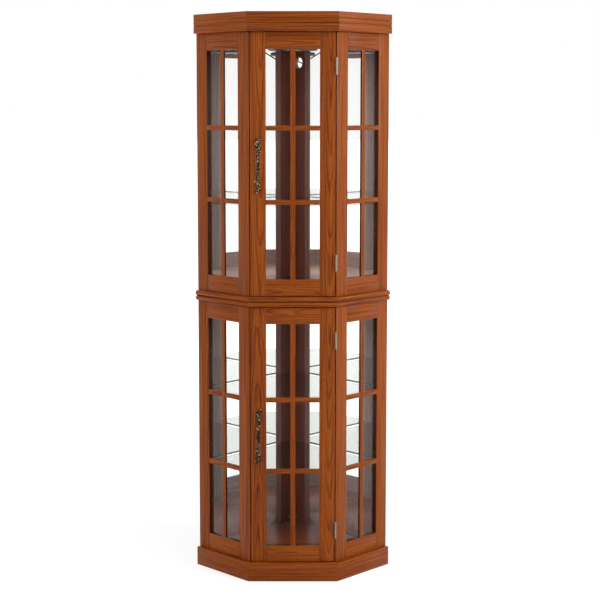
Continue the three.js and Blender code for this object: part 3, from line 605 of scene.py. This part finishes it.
# Floor, bay and top boards: oak-faced boards 16 mm thick. The two between the bays have rounded
# oak lippings, mitred round their three front edges; the others are held inside the trim boards.

lipping_width = 0.022
lipping_edge = 0.0003
round_steps = 12
round_share = 0.4
upward = (0, 0, 1)


def pentagon(offset):
    """The cabinet's plan, its three front edges moved outward"""
    left, right = ((outer_corner(offset, sign), near_corner(offset, sign)) for sign in (-1, 1))
    return [*left, *right[::-1], (0, apex_y)]


def flat_board(node, name, seed, material):
    low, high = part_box(node)
    board = Boards(seed, straight=False)
    board.stand(pentagon(-trim_lap - seat_gap), low.z, high.z, (1, 0, 0), upward)
    fit(board.make(name, material), node)


def lipped_board(node, name, seed, face):
    low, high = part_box(node)
    offset = front_y - low.y
    thickness = high.z - low.z
    round_depth = thickness * round_share
    inner = offset - lipping_width
    profile = [(inner, thickness), (inner, 0)]
    for step in range(round_steps + 1):
        angle = math.pi * (step / round_steps - 0.5)
        reach = offset - round_depth * (1 - math.cos(angle))
        profile.append((reach, thickness * (1 + math.sin(angle)) / 2))
    core = Boards(seed, straight=False)
    core.stand(pentagon(inner), low.z, high.z, (1, 0, 0), upward, marked_way=upward)
    fit(core.make(f"{name}_panel", face))
    lipping = Boards(seed + 1)
    for hand, sign, ends, along in mitred(profile, low.z):
        lipping.add(*ends, along, upward, lipping_edge)
    fit(lipping.make(f"{name}_lipping", stained_oak), node)


floor_stain = (ink(136, 66, 34), ink(95, 45, 22), ink(63, 29, 14))
floor_oak = oak("floor_oak", floor_stain, None, None, 0.34, 0.1, 0)
# Painted light: the upper floor's top face is painted pale pink for the sheen and light it shows;
# the lower floor keeps the plain stain
painted_light_floor_oak = oak("floor_oak_painted_light", floor_stain, None, ink(222, 170, 148), 0.34, 0.3, 0)
flat_board("lower_floor_board", "lower_floor", 31, floor_oak)
lipped_board("lower_top_board", "lower_top", 32, floor_oak)
lipped_board("upper_bottom_board", "upper_floor", 34, painted_light_floor_oak)
flat_board("upper_top_board", "upper_top", 36, stained_oak)

# Side frames: two oak stiles with a rail butted between them at each end, turned 45 degrees and
# fixed between the boards. The front stile's edge is cut back square to the door.

units = ("lower", "upper")
sides = [(unit, hand, sign) for unit in units for hand, sign in hands]
frame_thickness = 0.020
lattice_low, lattice_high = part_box("upper_door_lattice")
stile_width = lattice_low.x - seat_gap - door_low.x
lite_low_z = {unit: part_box(f"{unit}_door_lattice")[0].z - seat_gap for unit in units}
lite_high_z = {unit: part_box(f"{unit}_door_lattice")[1].z + seat_gap for unit in units}
# Painted light: the faces into the bays take these pale pairs in place of the warm stain, so that
# they show lit in the mirrors
inner_painted_light = (ink(196, 154, 136), ink(164, 124, 108))
inner_rail_painted_light = (ink(186, 148, 140), ink(148, 114, 106))
# Painted shade: reveals and the tops of rails are painted dark where the frame shades them
reveal_painted_shade = ink(48, 22, 12)
side_oak = oak("side_oak", warm_stain, inner_painted_light, reveal_painted_shade, 0.34, 0.1)
rail_oak = oak("rail_oak", warm_stain, inner_rail_painted_light, reveal_painted_shade, 0.34, 0.1)


def toward_door(sign):
    return -sign * diagonal, -diagonal, 0


def side_frame(unit, hand, sign, seed):
    low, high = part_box(f"{unit}_{hand}_side_frame")
    land = frame_thickness - corner_land / diagonal
    depth = (0, frame_thickness)
    outer_from = side_width - stile_width
    front_end = [(0, 0), (stile_width, 0), (stile_width, frame_thickness), (land, frame_thickness)]
    front_stile = [(sign * (near_x - corner_land), front_y), *plan(side_point, front_end, sign)]
    outer_stile = plan(side_point, rectangle((outer_from, side_width), depth), sign)
    rail = plan(side_point, rectangle((stile_width, outer_from), depth), sign)
    facing = (sign, -1, 0)
    boards = Boards(seed)
    boards.stand(front_stile, low.z, high.z, upward, facing)
    # The outer stile's reveal toward the door is flagged for painted shade
    boards.stand(outer_stile, low.z, high.z, upward, facing, marked_way=toward_door(sign))
    piece = boards.make(f"{unit}_{hand}_side_stiles", side_oak)
    fit(piece, f"{unit}_{hand}_side_frame")
    rails = Boards(seed + 100)
    # The rails' top faces are flagged for painted shade
    for ends in ((low.z, lite_low_z[unit]), (lite_high_z[unit], high.z)):
        rails.stand(rail, *ends, (sign, 1, 0), facing, marked_way=upward)
    fit(rails.make(f"{unit}_{hand}_side_rails", rail_oak))


for seed, side in enumerate(sides, start=41):
    side_frame(*side, seed)

# Lattices: a flush upright with cross bars butted to it, in front of a float glass pane
# that is let into the frame. The door's and the sides' bars line up round the cabinet.

muntin_width = 0.016
muntin_height = 0.015
muntin_edge = 0.0004
outer_lite_share = 235 / 715
lattice_depth = lattice_high.y - lattice_low.y


def unmirrored(piece):
    """The photograph's mirrors show plain white: bars, pulls and doors' tops stay out of them"""
    piece.visible_glossy = False
    return piece


def lattice(unit, outline_at, run, facing, seed, marked_way=(0, 0, 0)):
    """outline_at gives a bar's plan from its two ends, measured across the opening"""
    boards = Boards(seed)
    half_bar = muntin_width / 2
    half_opening = run / 2 - seat_gap
    upright = outline_at(-half_bar, half_bar)
    along = Vector((*upright[1], 0)) - Vector((*upright[0], 0))
    low, high = lite_low_z[unit], lite_high_z[unit]
    ends = (low + seat_gap, high - seat_gap)
    boards.stand(upright, *ends, upward, facing, muntin_edge, marked_way)
    lite = (high - low) * outer_lite_share
    for height in (low + lite, high - lite - muntin_height):
        for ends in ((-half_opening, -half_bar), (half_bar, half_opening)):
            top = height + muntin_height
            boards.stand(outline_at(*ends), height, top, along, facing, muntin_edge)
    return boards


def side_lattice(unit, hand, sign, seed):
    middle = side_width / 2

    def outline(start, end):
        corners = rectangle((middle + start, middle + end), (0, lattice_depth))
        return plan(side_point, corners, sign)

    opening = side_width - 2 * stile_width
    # The upright's face toward the door is flagged for painted shade
    boards = lattice(unit, outline, opening, (sign, -1, 0), seed, toward_door(sign))
    piece = unmirrored(boards.make(f"{unit}_{hand}_lattice_bars", side_oak))
    fit(piece, f"{unit}_{hand}_side_lattice")
    dress(f"{unit}_{hand}_side_glass", pane_glass)


def clear_glass(name, tint, edge=None, edge_share=0.0):
    """Float glass: it lets light through, mirrors at a slant and is green at its edges"""
    finish = Finish(name)
    front = 1 - finish.node("ShaderNodeNewGeometry", output="Backfacing")
    slant = (finish.node("ShaderNodeFresnel", {}, {"IOR": 1.5}) - 0.036) * front
    through = finish.node("ShaderNodeBsdfTransparent", {}, {"Color": tint})
    gloss = finish.surface(Base_Color=white, Metallic=1.0, Roughness=0.0)
    pane = finish.blend(slant, through, gloss)
    if not edge:
        return finish.close(pane)
    rim = finish.surface(Base_Color=edge, Roughness=0.12, Alpha=0.95)
    _, normal_y, normal_z = finish.parts(finish.place("Normal"))
    is_rim = 1 - normal_z.math("ABSOLUTE").eased(0.4, 0.6)
    cover = edge_share * (0.06 + normal_y.eased(-0.2, 0.2) * front * 0.94)
    return finish.close(finish.blend(is_rim * cover, pane, rim))


pane_glass = clear_glass("pane_glass", (0.995, 0.998, 0.996, 1.0))
for seed, side in enumerate(sides, start=51):
    side_lattice(*side, seed)

# Back walls: a silvered mirror on each side, held in rebates between a batten behind the outer
# stile and the two boards that meet in the room's corner, all stained dark. Their faces by the
# mirrors
# are painted paler: painted light.

mirror_thickness = 0.003
mirror_rebate = 0.006
rebate_back = mirror_thickness + seat_gap
post_width = 0.074
post_edge = wall_length - post_width
batten_width = 0.024
hole_radius = 0.019
hole_drill = 0.08
hole_sides = 64


def silvered():
    """Mirror glass: slightly hazy silver from the front, grey backing paint behind"""
    finish = Finish("mirror")
    front = (0 - finish.parts(finish.place("Normal"))[1]).eased(0.3, 0.6)
    mottle = finish.noise(finish.place(), 60, 3)
    backing = finish.mix(mottle, ink(104, 106, 108), ink(126, 128, 130))
    silver = finish.mix(front, backing, (0.99, 0.987, 0.98, 1.0))
    return finish.coated(Base_Color=silver, Metallic=front * 0.91, Roughness=0.6 - front * 0.6)


def turned_to(axis, centre):
    """A matrix that stands a turned shape along an axis at a centre"""
    return Matrix.Translation(centre) @ Vector(axis).to_track_quat("Z", "Y").to_matrix().to_4x4()


def shaped(shape, name):
    """A closed shape as a mesh"""
    bmesh.ops.recalc_face_normals(shape, faces=shape.faces)
    mesh = bpy.data.meshes.new(name)
    shape.to_mesh(mesh)
    shape.free()
    return mesh


def bored(piece):
    """The right-hand board with the cord's hole through it"""
    shape = bmesh.new()
    place = turned_to((1, 1, 0), hole_middle)
    size = {"radius1": hole_radius, "radius2": hole_radius, "depth": hole_drill}
    bmesh.ops.create_cone(shape, cap_ends=True, segments=hole_sides, matrix=place, **size)
    cutter = placed("hole_cutter", shaped(shape, "hole_cutter"))
    cut = piece.modifiers.new("hole", "BOOLEAN")
    cut.object = cutter
    cut.solver = "EXACT"
    seen = piece.evaluated_get(bpy.context.evaluated_depsgraph_get())
    piece.data = bpy.data.meshes.new_from_object(seen)
    piece.modifiers.clear()
    bpy.data.objects.remove(cutter)


def batten(unit, hand, sign, seed):
    low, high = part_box(f"{unit}_{hand}_wall_board")
    start = frame_thickness + seat_gap
    end = start + batten_width
    stop = end - mirror_rebate
    corners = [(start, 0), (stop, 0), (stop, rebate_back), (end, rebate_back)]
    corners += [(end, board_thickness), (start, board_thickness)]
    board = Boards(seed)
    ways = (upward, (-sign, -1, 0))
    ends = (low.z, high.z)
    # Painted light: the batten's face into the bay and its edges by the mirror are painted paler
    # than its dark stain
    board.stand(plan(wall_point, corners, sign), *ends, *ways, marked_way=toward_door(sign))
    piece = board.make(f"{unit}_{hand}_mirror_batten", batten_oak)
    fit(piece, f"{unit}_{hand}_wall_board", slot="dark_oak")


def corner_post(unit, seed):
    low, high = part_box(f"{unit}_corner_post")
    stop = post_edge + mirror_rebate
    corners = [(post_edge, board_thickness), (post_edge, rebate_back)]
    corners += [(stop, rebate_back), (stop, 0)]
    pieces = []
    for hand, sign in hands:
        outline = [*plan(wall_point, corners, sign), (0, apex_y), (0, inner_apex_y)]
        board = Boards(seed + sign)
        ways = (upward, (-sign, -1, 0))
        # Each board's edge by the mirror is flagged for painted light
        board.stand(outline, low.z, high.z, *ways, marked_way=toward_door(-sign))
        pieces.append(board.make(f"{unit}_{hand}_post_board", dark_oak))
    left, right = pieces
    if unit == "upper":
        bored(right)
    fit(left, slot="dark_oak")
    fit(right, f"{unit}_corner_post", slot="dark_oak")


mirror_finish = silvered()
# Painted light on the battens: a pale pair for the edges and one paler colour for the face into the
# bay
batten_painted_light = (ink(154, 130, 120), ink(134, 112, 104))
batten_oak = oak("batten_oak", dark_stain, batten_painted_light, ink(142, 118, 108), 0.5, 0.15)
for seed, unit in ((61, "lower"), (71, "upper")):
    corner_post(unit, seed)
    for hand, sign in hands:
        batten(unit, hand, sign, seed + 5 + sign)
        dress(f"{unit}_{hand}_mirror", mirror_finish)

# Glass shelves: 6 mm float glass with ground green edges. They lie loose on steel pins that are
# pushed into the stiles and the corner boards.

pin_radius = 0.0025
pin_reach = 0.007
pin_depth = 0.002
pin_edge = 0.0006
pin_from_edge = 0.015
turned_sides = 24


def circle(radius, count):
    turns = [2 * math.pi * i / count for i in range(count)]
    return [(radius * math.cos(turn), radius * math.sin(turn)) for turn in turns]


def lathe(name, profile, segments=turned_sides):
    """A turned shape from radius and height, about the Z axis"""
    shape = bmesh.new()
    rings = []
    for radius, height in profile:
        ring = level(circle(radius, segments if radius else 1), height)
        rings.append([shape.verts.new(point) for point in ring])
    for low, high in zip(rings, rings[1:]):
        for i in range(segments):
            corners = [low[i % len(low)], low[(i + 1) % len(low)]]
            corners += [high[(i + 1) % len(high)], high[i % len(high)]]
            shape.faces.new(list(dict.fromkeys(corners)))
    return shaped(shape, name)


def gathered(name, meshes, material):
    """Copies of meshes, each with its matrix, as one piece"""
    shape = bmesh.new()
    for mesh, matrix in meshes:
        copy = mesh.copy()
        copy.transform(matrix)
        shape.from_mesh(copy)
        bpy.data.meshes.remove(copy)
    return place_mesh(shaped(shape, name), material)


nickel_inks = (ink(122, 114, 104), ink(148, 140, 130))
nickel = coat("satin_nickel", nickel_inks, 0.36, scale=240, spread=0.16, Metallic=1.0)
shelf_glass = clear_glass("shelf_glass", (0.785, 0.797, 0.782, 1.0), ink(34, 54, 47), 0.97)
shelves = {"lower": ("lower_shelf_low", "lower_shelf_high"), "upper": ("upper_shelf",)}
pin_profile = [(0, -pin_depth), (pin_radius, -pin_depth), (pin_radius, pin_reach - pin_edge)]
pin_profile += [(pin_radius - pin_edge, pin_reach), (0, pin_reach)]
pin_mesh = lathe("pin", pin_profile)
for unit, nodes in shelves.items():
    pins = []
    for node in nodes:
        dress(node, shelf_glass)
        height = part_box(node)[0].z - seat_gap - pin_radius
        for hand, sign in hands:
            for along in (stile_width - pin_from_edge, side_width - stile_width + pin_from_edge):
                foot = side_point(along, frame_thickness, sign)
                pins.append((pin_mesh, turned_to((-sign, 1, 0), (*foot, height))))
            foot = wall_point(post_edge + pin_from_edge, board_thickness, sign)
            pins.append((pin_mesh, turned_to((-sign, -1, 0), (*foot, height))))
    fit(gathered(f"{unit}_shelf_pins", pins, nickel), slot="nickel")

# Corner connectors: a grey steel clip low in each bay holds the two corner boards together,
# screwed to both.

clip_half_width = 0.026 * diagonal
clip_height = 0.0065
clip_rise = 0.0165
clip_stand = 0.62
clip_bow = 0.38
clip_gap = 0.0002
clip_edge = 0.002
clip_steps = 16

clip_outline = []
for step in range(clip_steps + 1):
    angle = math.pi * (1 + step / clip_steps)
    bulge = clip_stand - clip_bow * math.sin(angle)
    clip_outline.append((clip_half_width * math.cos(angle), inner_apex_y - clip_half_width * bulge))
clip_outline.append((0, inner_apex_y - clip_gap))
clip_enamel = coat("clip_enamel", (ink(74, 72, 68), ink(94, 92, 88)), 0.45)
for unit in units:
    clip = Boards(seed=81)
    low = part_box(f"{unit}_corner_post")[0].z + clip_rise - clip_height / 2
    clip.stand(clip_outline, low, low + clip_height, (1, 0, 0), (0, -1, 0), clip_edge)
    fit(clip.make(f"{unit}_corner_clip", clip_enamel), slot="grey_metal")

# Doors: two oak stiles with rails butted between them, hung on the right.
# The bars are flush with the frame, and one float glass pane is let in behind them.

outward = (0, -1, 0)


def parted(piece, name, height):
    """Parts a piece at a height, and gives what stood above as its own piece"""
    above = bpy.data.meshes.new(name)
    for mesh, kept in ((above, True), (piece.data, False)):
        shape = bmesh.new()
        shape.from_mesh(piece.data)
        every = [*shape.verts, *shape.edges, *shape.faces]
        bmesh.ops.bisect_plane(shape, geom=every, plane_co=(0, 0, height), plane_no=upward)
        spare = [face for face in shape.faces if (face.calc_center_median().z > height) != kept]
        bmesh.ops.delete(shape, geom=spare, context="FACES")
        shape.to_mesh(mesh)
        shape.free()
    return place_mesh(above, piece.data.materials[0])


def door_boards(unit, seed):
    low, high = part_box(f"{unit}_door_frame")
    depth = (low.y, high.y)
    west, east = low.x + stile_width, high.x - stile_width
    boards = Boards(seed, straight=False)
    for ends in ((low.x, west), (east, high.x)):
        boards.stand(rectangle(ends, depth), low.z, high.z, upward, outward)
    # The rails' top faces are flagged for painted shade
    for ends in ((low.z, lite_low_z[unit]), (lite_high_z[unit], high.z)):
        outline = rectangle((west, east), depth)
        boards.stand(outline, *ends, (1, 0, 0), outward, marked_way=upward)
    piece = boards.make(f"{unit}_door_boards", rail_oak)
    fit(piece, f"{unit}_door_frame", body=f"{unit}_door")
    upper_part = parted(piece, f"{unit}_door_upper_boards", lite_low_z[unit])
    fit(unmirrored(upper_part), body=f"{unit}_door")


def bar_outline(*ends):
    return rectangle(ends, (front_y, front_y + lattice_depth))


door_opening = door_high.x - door_low.x - 2 * stile_width
for seed, unit in ((91, "lower"), (95, "upper")):
    door_boards(unit, seed)
    bars = lattice(unit, bar_outline, door_opening, outward, seed + 1)
    piece = unmirrored(bars.make(f"{unit}_door_bars", rail_oak))
    fit(piece, f"{unit}_door_lattice", body=f"{unit}_door")
    dress(f"{unit}_door_glass", pane_glass)

# Door stops: slim dark beads behind the door's four edges, glued to the side frames, the floor and
# the ceiling, close the gaps round it to the eye; their dark stain also stands in for the gaps'
# shade, as painted shade. The magnet catch takes its place in the top one.

bead_depth = 0.005
bead_reach = 0.0055
bead_clearance = 0.0008
bead_edge = 0.0004


def door_stops(unit, seed):
    low, high = (corner.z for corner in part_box(f"{unit}_left_side_frame"))
    catch_low, catch_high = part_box(f"{unit}_magnet_catch")
    jamb = near_x - corner_land
    inner = jamb - bead_reach
    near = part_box(f"{unit}_door_frame")[1].y + bead_clearance
    catch_left, catch_right = catch_low.x - bead_clearance, catch_high.x + bead_clearance
    beads = Boards(seed)
    for ends, heights, along in (
        ((-jamb, -inner), (low, high), upward),
        ((inner, jamb), (low, high), upward),
        ((-inner, inner), (low, low + bead_reach), (1, 0, 0)),
        ((-inner, catch_left), (high - bead_reach, high), (1, 0, 0)),
        ((catch_right, inner), (high - bead_reach, high), (1, 0, 0)),
    ):
        outline = rectangle(ends, (near, near + bead_depth))
        beads.stand(outline, *heights, along, outward, bead_edge)
    fit(beads.make(f"{unit}_door_stops", stop_oak), slot="dark_oak")


# Painted shade: the beads are stained dark to darken the gaps round the door; their backs into the
# bay take the paler painted light
stop_oak = oak("stop_oak", dark_stain, inner_painted_light, None, 0.4, 0.2)
for seed, unit in ((97, "lower"), (98, "upper")):
    door_stops(unit, seed)

# Hinges: satin nickel butts, 53 mm tall, with three knuckles on a pin. Each leaf is let into the
# gap beside the door and held by two countersunk cross-head screws.

leaf_edge = 0.0002
leaf_thickness = 0.001
leaf_seat = 0.0002
leaf_reach = 0.0115
screw_proud = 0.00004
screw_heights = (0.2, 0.8)
screw_radius = 0.0027
screw_sides = 32
cross_reach = screw_radius * 0.62
cross_width = screw_radius * 0.13
screw_depths = (0.0009, 0.0006)
screw_tapers = (0.55, 0.6)


def screw_mesh():
    """A countersunk head with a cross in it, its face at the origin and to +Z"""
    shape = bmesh.new()
    arm, half = cross_reach, cross_width
    cross = [(half, arm), (half, half), (arm, half), (arm, -half), (half, -half), (half, -arm)]
    cross += [(-x, -y) for x, y in cross]
    outlines = (circle(screw_radius, screw_sides), cross)
    edges = []
    for outline in outlines:
        loop = [shape.verts.new((x, y, 0)) for x, y in outline]
        edges += [shape.edges.new((loop[i - 1], loop[i])) for i in range(len(loop))]
    bmesh.ops.triangle_fill(shape, edges=edges, use_beauty=True)
    first = 0
    for outline, drop, taper in zip(outlines, screw_depths, screw_tapers):
        shape.verts.ensure_lookup_table()
        top = shape.verts[first : first + len(outline)]
        foot = [shape.verts.new((v.co.x * taper, v.co.y * taper, -drop)) for v in top]
        for i in range(len(outline)):
            shape.faces.new((top[i - 1], top[i], foot[i], foot[i - 1]))
        shape.faces.new(foot)
        first += len(outline)
    return shaped(shape, "screw")


screw = screw_mesh()
door_face = door_high.x + leaf_seat + leaf_thickness + screw_proud
fixed_face = near_x - corner_land - leaf_seat - leaf_thickness - screw_proud
for unit in units:
    for leaf, sign, face, body in (
        ("fixed", -1, fixed_face, "cabinet"),
        ("door", 1, door_face, f"{unit}_door"),
    ):
        screws = []
        for end in ("bottom", "top"):
            ease(f"{unit}_{end}_hinge_{leaf}_leaf", leaf_edge, nickel)
            low, high = (corner.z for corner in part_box(f"{unit}_{end}_hinge_fixed_leaf"))
            for share in screw_heights:
                place = (face, front_y + leaf_reach, low + (high - low) * share)
                screws.append((screw, turned_to((sign, 0, 0), place)))
        piece = gathered(f"{unit}_hinge_{leaf}_screws", screws, nickel)
        fit(piece, body=body, slot="nickel")

# Pulls: cast brass scrolls, darkened and rubbed back, on two round posts with rosettes.
# A ribbed barrel holds the middle, and leaves and open curls follow the stem to its rolled ends.

pull_proud = 0.019
pull_radius = 0.0029
pull_half_height = 0.092
pull_middle_y = pull_radius - pull_proud
pull_swing = pull_radius * 1.8
stem_steps = 8
stem_flute = 0.34
stem_twist = 0.5
barrel_ribs = 3
barrel_pitch = 0.0037
barrel_width = 1.88
barrel_taper = 0.06
barrel_flare = 1.58
curl_rise = 0.0285
curl_radius = 0.0053
curl_steps = 30
berry_radius = 0.0019
berry_sides = 14
leaf_steps = 5
leaf_flat = 0.55
leaf_flute = 0.3
cast_sides = 12
post_rise = 0.058
post_profile = [(0, 0), (0.0075, 0), (0.0075, 0.001), (0.0062, 0.0026), (0.004, 0.003)]
post_profile += [(0.0034, 0.006), (0.0034, 0.0125), (0, 0.0132)]


def spline_points(knots, steps):
    """Points on a smooth curve through knots, with extra numbers carried along"""
    points = []
    for i in range(len(knots) - 1):
        near = (knots[min(max(i + k, 0), len(knots) - 1)] for k in (-1, 0, 1, 2))
        columns = list(zip(*near))
        for t in (step / steps for step in range(steps)):
            row = []
            for a, b, c, d in columns:
                square = 2 * a - 5 * b + 4 * c - d
                cube = 3 * b - a - 3 * c + d
                row.append(0.5 * (2 * b + (c - a) * t + square * t * t + cube * t**3))
            points.append(row)
    return [*points, list(knots[-1])]


def sweep(name, rows, sides, flat=1.0, flute=0.0, flutes=4, twist=0.0):
    """A round bar through rows of x, y, z and radius, closed at both ends. Its flutes are
    shares of the radius, and they turn round it by so much at each row."""
    shape = bmesh.new()
    centres = [Vector(row[:3]) for row in rows]
    rings = []
    for i, row in enumerate(rows):
        heading = (centres[min(i + 1, len(rows) - 1)] - centres[max(i - 1, 0)]).normalized()
        side = heading.cross(Vector(outward)).normalized()
        out = side.cross(heading)
        ring = []
        for k in range(sides):
            angle = 2 * math.pi * k / sides
            radius = row[3] * (1 - flute * (0.5 + 0.5 * math.cos(flutes * angle + twist * i)))
            reach = side * (math.cos(angle) * radius) + out * (math.sin(angle) * radius * flat)
            ring.append(shape.verts.new(centres[i] + reach))
        rings.append(ring)
    for low, high in zip(rings, rings[1:]):
        for k in range(sides):
            shape.faces.new((low[k - 1], low[k], high[k], high[k - 1]))
    shape.faces.new(rings[0][::-1])
    shape.faces.new(rings[-1])
    return shaped(shape, name)


def stem_rows():
    """Swing, rise and reach from the door as shares, then the bar's thickness share"""
    half = [(0, 0, 1, 1.5), (0, 0.16, 1, 1.25), (0.5, 0.24, 0.98, 1.0)]
    half += [(0.6, 0.36, 0.95, 1.15), (0.9, 0.46, 0.9, 1.5), (0.3, 0.56, 0.84, 1.65)]
    half += [(-0.5, 0.66, 0.76, 1.8), (-0.7, 0.76, 0.66, 1.5), (-0.1, 0.85, 0.57, 1.2)]
    half += [(0.8, 0.92, 0.5, 1.25), (1.35, 0.92, 0.46, 1.1), (1.45, 0.86, 0.45, 0.8)]
    half += [(1.0, 0.83, 0.46, 0.6)]
    knots = []
    for sign, end in ((-1, half[:0:-1]), (1, half)):
        for swing, rise, proud, thick in end:
            x, y = sign * swing * pull_swing, pull_radius - pull_proud * proud
            knots.append((x, y, sign * rise * pull_half_height, thick * pull_radius))
    return spline_points(knots, stem_steps)


def curl_rows(sign):
    """An open curl beside the stem, round a small berry"""
    rows = []
    for step in range(curl_steps + 1):
        share = step / curl_steps
        angle = math.pi * (0.5 - 2.5 * share)
        radius = curl_radius * (1 - 0.55 * share)
        x = -sign * (math.cos(angle) * radius + curl_radius * 0.1)
        z = sign * (curl_rise + math.sin(angle) * radius)
        rows.append((x, pull_radius - pull_proud * 1.06, z, pull_radius * (0.72 - 0.22 * share)))
    return rows


def leaf_rows(rows, rise, side, sign, length):
    """A leaf that grows out of the stem at a share of its rise and bends along it: shares of
    its length outward and along, then its lift off the stem and its thickness"""
    bends = [(0.25, 0.2, -0.0022, 0.0022), (0.5, 0.52, -0.0016, 0.0024)]
    bends += [(0.54, 0.82, 0.0004, 0.0016), (0.4, 1, 0.0014, 0.0006)]
    x, y, z, thick = min(rows, key=lambda row: abs(row[2] - sign * rise * pull_half_height))
    knots = [(x, y - thick * 0.5, z, 0.0011)]
    for out, up, lift, wide in bends:
        knots.append((x + side * out * length, y + lift, z + sign * up * length, wide))
    return spline_points(knots, leaf_steps)


def moved(mesh, place):
    mesh.transform(Matrix.Translation(place))
    return mesh


def berry_at(place):
    arc = [math.pi * (i / 8 - 0.5) for i in range(1, 8)]
    middle = [(berry_radius * math.cos(a), berry_radius * math.sin(a)) for a in arc]
    profile = [(0, -berry_radius), *middle, (0, berry_radius)]
    return moved(lathe("berry", profile, berry_sides), place)


def barrel():
    """A row of ribs, the middle ones wider"""
    bead = [(0, -0.5), (0.72, -0.44), (1, -0.16), (1, 0.16), (0.72, 0.44), (0, 0.5)]
    ribs = []
    for rib in range(-barrel_ribs, barrel_ribs + 1):
        wide = pull_radius * (barrel_width - barrel_taper * rib * rib)
        mesh = lathe("rib", [(radius * wide, height * barrel_pitch) for radius, height in bead])
        mesh.transform(Matrix.Scale(barrel_flare, 4, (1, 0, 0)))
        ribs.append(moved(mesh, (0, pull_middle_y, rib * barrel_pitch)))
    return ribs


def half_pull(stem, sign):
    """A post, a curl with its berry, the rolled end's berry and five leaves"""
    leaves = [(0.42, -1, 0.010), (0.5, 1, 0.010), (0.6, -1, 0.0095), (0.66, 1, 0.011)]
    post = lathe("post", post_profile)
    post.transform(turned_to(outward, (0, 0, sign * post_rise)))
    curl = sweep("curl", curl_rows(sign), cast_sides)
    tip = (sign * pull_swing, pull_radius - pull_proud * 0.5, sign * 0.8 * pull_half_height)
    meshes = [post, curl, berry_at((0, pull_middle_y, sign * curl_rise)), berry_at(tip)]
    for rise, side, length in [*leaves, (0.8, -1, 0.008)]:
        rows = leaf_rows(stem, rise, side * sign, sign, length)
        meshes.append(sweep("leaf", rows, cast_sides, leaf_flat, flute=leaf_flute, flutes=2))
    return meshes


bronze_inks = (ink(22, 17, 12), ink(196, 174, 140))
bronze = coat("antique_bronze", bronze_inks, 0.26, scale=300, spread=0.16, Metallic=1.0)
stem = stem_rows()
stem_mesh = sweep("stem", stem, turned_sides, flute=stem_flute, twist=stem_twist)
pull_meshes = [stem_mesh, *barrel(), *half_pull(stem, -1), *half_pull(stem, 1)]
for unit in units:
    low, high = (corner.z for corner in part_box(f"{unit}_door_pull"))
    centre = Vector((door_low.x + stile_width / 2, front_y - seat_gap, (low + high) / 2))
    parts = [(mesh, Matrix.Translation(centre)) for mesh in pull_meshes]
    pull = gathered(f"{unit}_scroll_pull", parts, bronze)
    fit(unmirrored(pull), f"{unit}_door_pull", body=f"{unit}_door", slot="bronze")

# Magnet catches: black plastic cases with a magnet in them, screwed under each bay's ceiling
# behind the door's free corner.

black_plastic = coat("black_plastic", (ink(22, 22, 24), ink(32, 32, 34)), 0.4)
for unit in units:
    ease(f"{unit}_magnet_catch", 0.0005, black_plastic)

# The cornice: three mitred oak boards with two fine V grooves along their faces, glued round
# the top board and standing proud of it, so that the top is a shallow tray.

cornice_low, cornice_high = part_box("cornice_front")
cornice_height = cornice_high.z - cornice_low.z
groove_drops = (0.020, 0.035)
groove_depth = 0.0024
cornice_profile = [(-trim_lap, 0), (overhang, 0)]
for drop in reversed(groove_drops):
    for rise, depth in ((-groove_depth, 0), (0, groove_depth), (groove_depth, 0)):
        cornice_profile.append((overhang - depth, cornice_height - drop + rise))
cornice_profile += [(overhang, cornice_height), (-trim_lap, cornice_height)]
trim_boards("cornice", cornice_profile, cornice_low.z, seed=101)

# The lamp under the top board: a black canister, a shallow enamelled dish below it and a
# frosted lens in the dish.

lamp_edge = 0.0003
lens_inks = (ink(226, 232, 228),)
frosted = coat("frosted_lens", lens_inks, 0.4, 700, 2, relief=0.00005, Transmission_Weight=0.3)
grey_enamel = coat("grey_enamel", (ink(46, 49, 49), ink(64, 68, 67)), 0.34)
ease("lamp_housing", lamp_edge, black_plastic)
ease("lamp_dish", lamp_edge, grey_enamel)
ease("lamp_lens", lamp_edge, frosted)
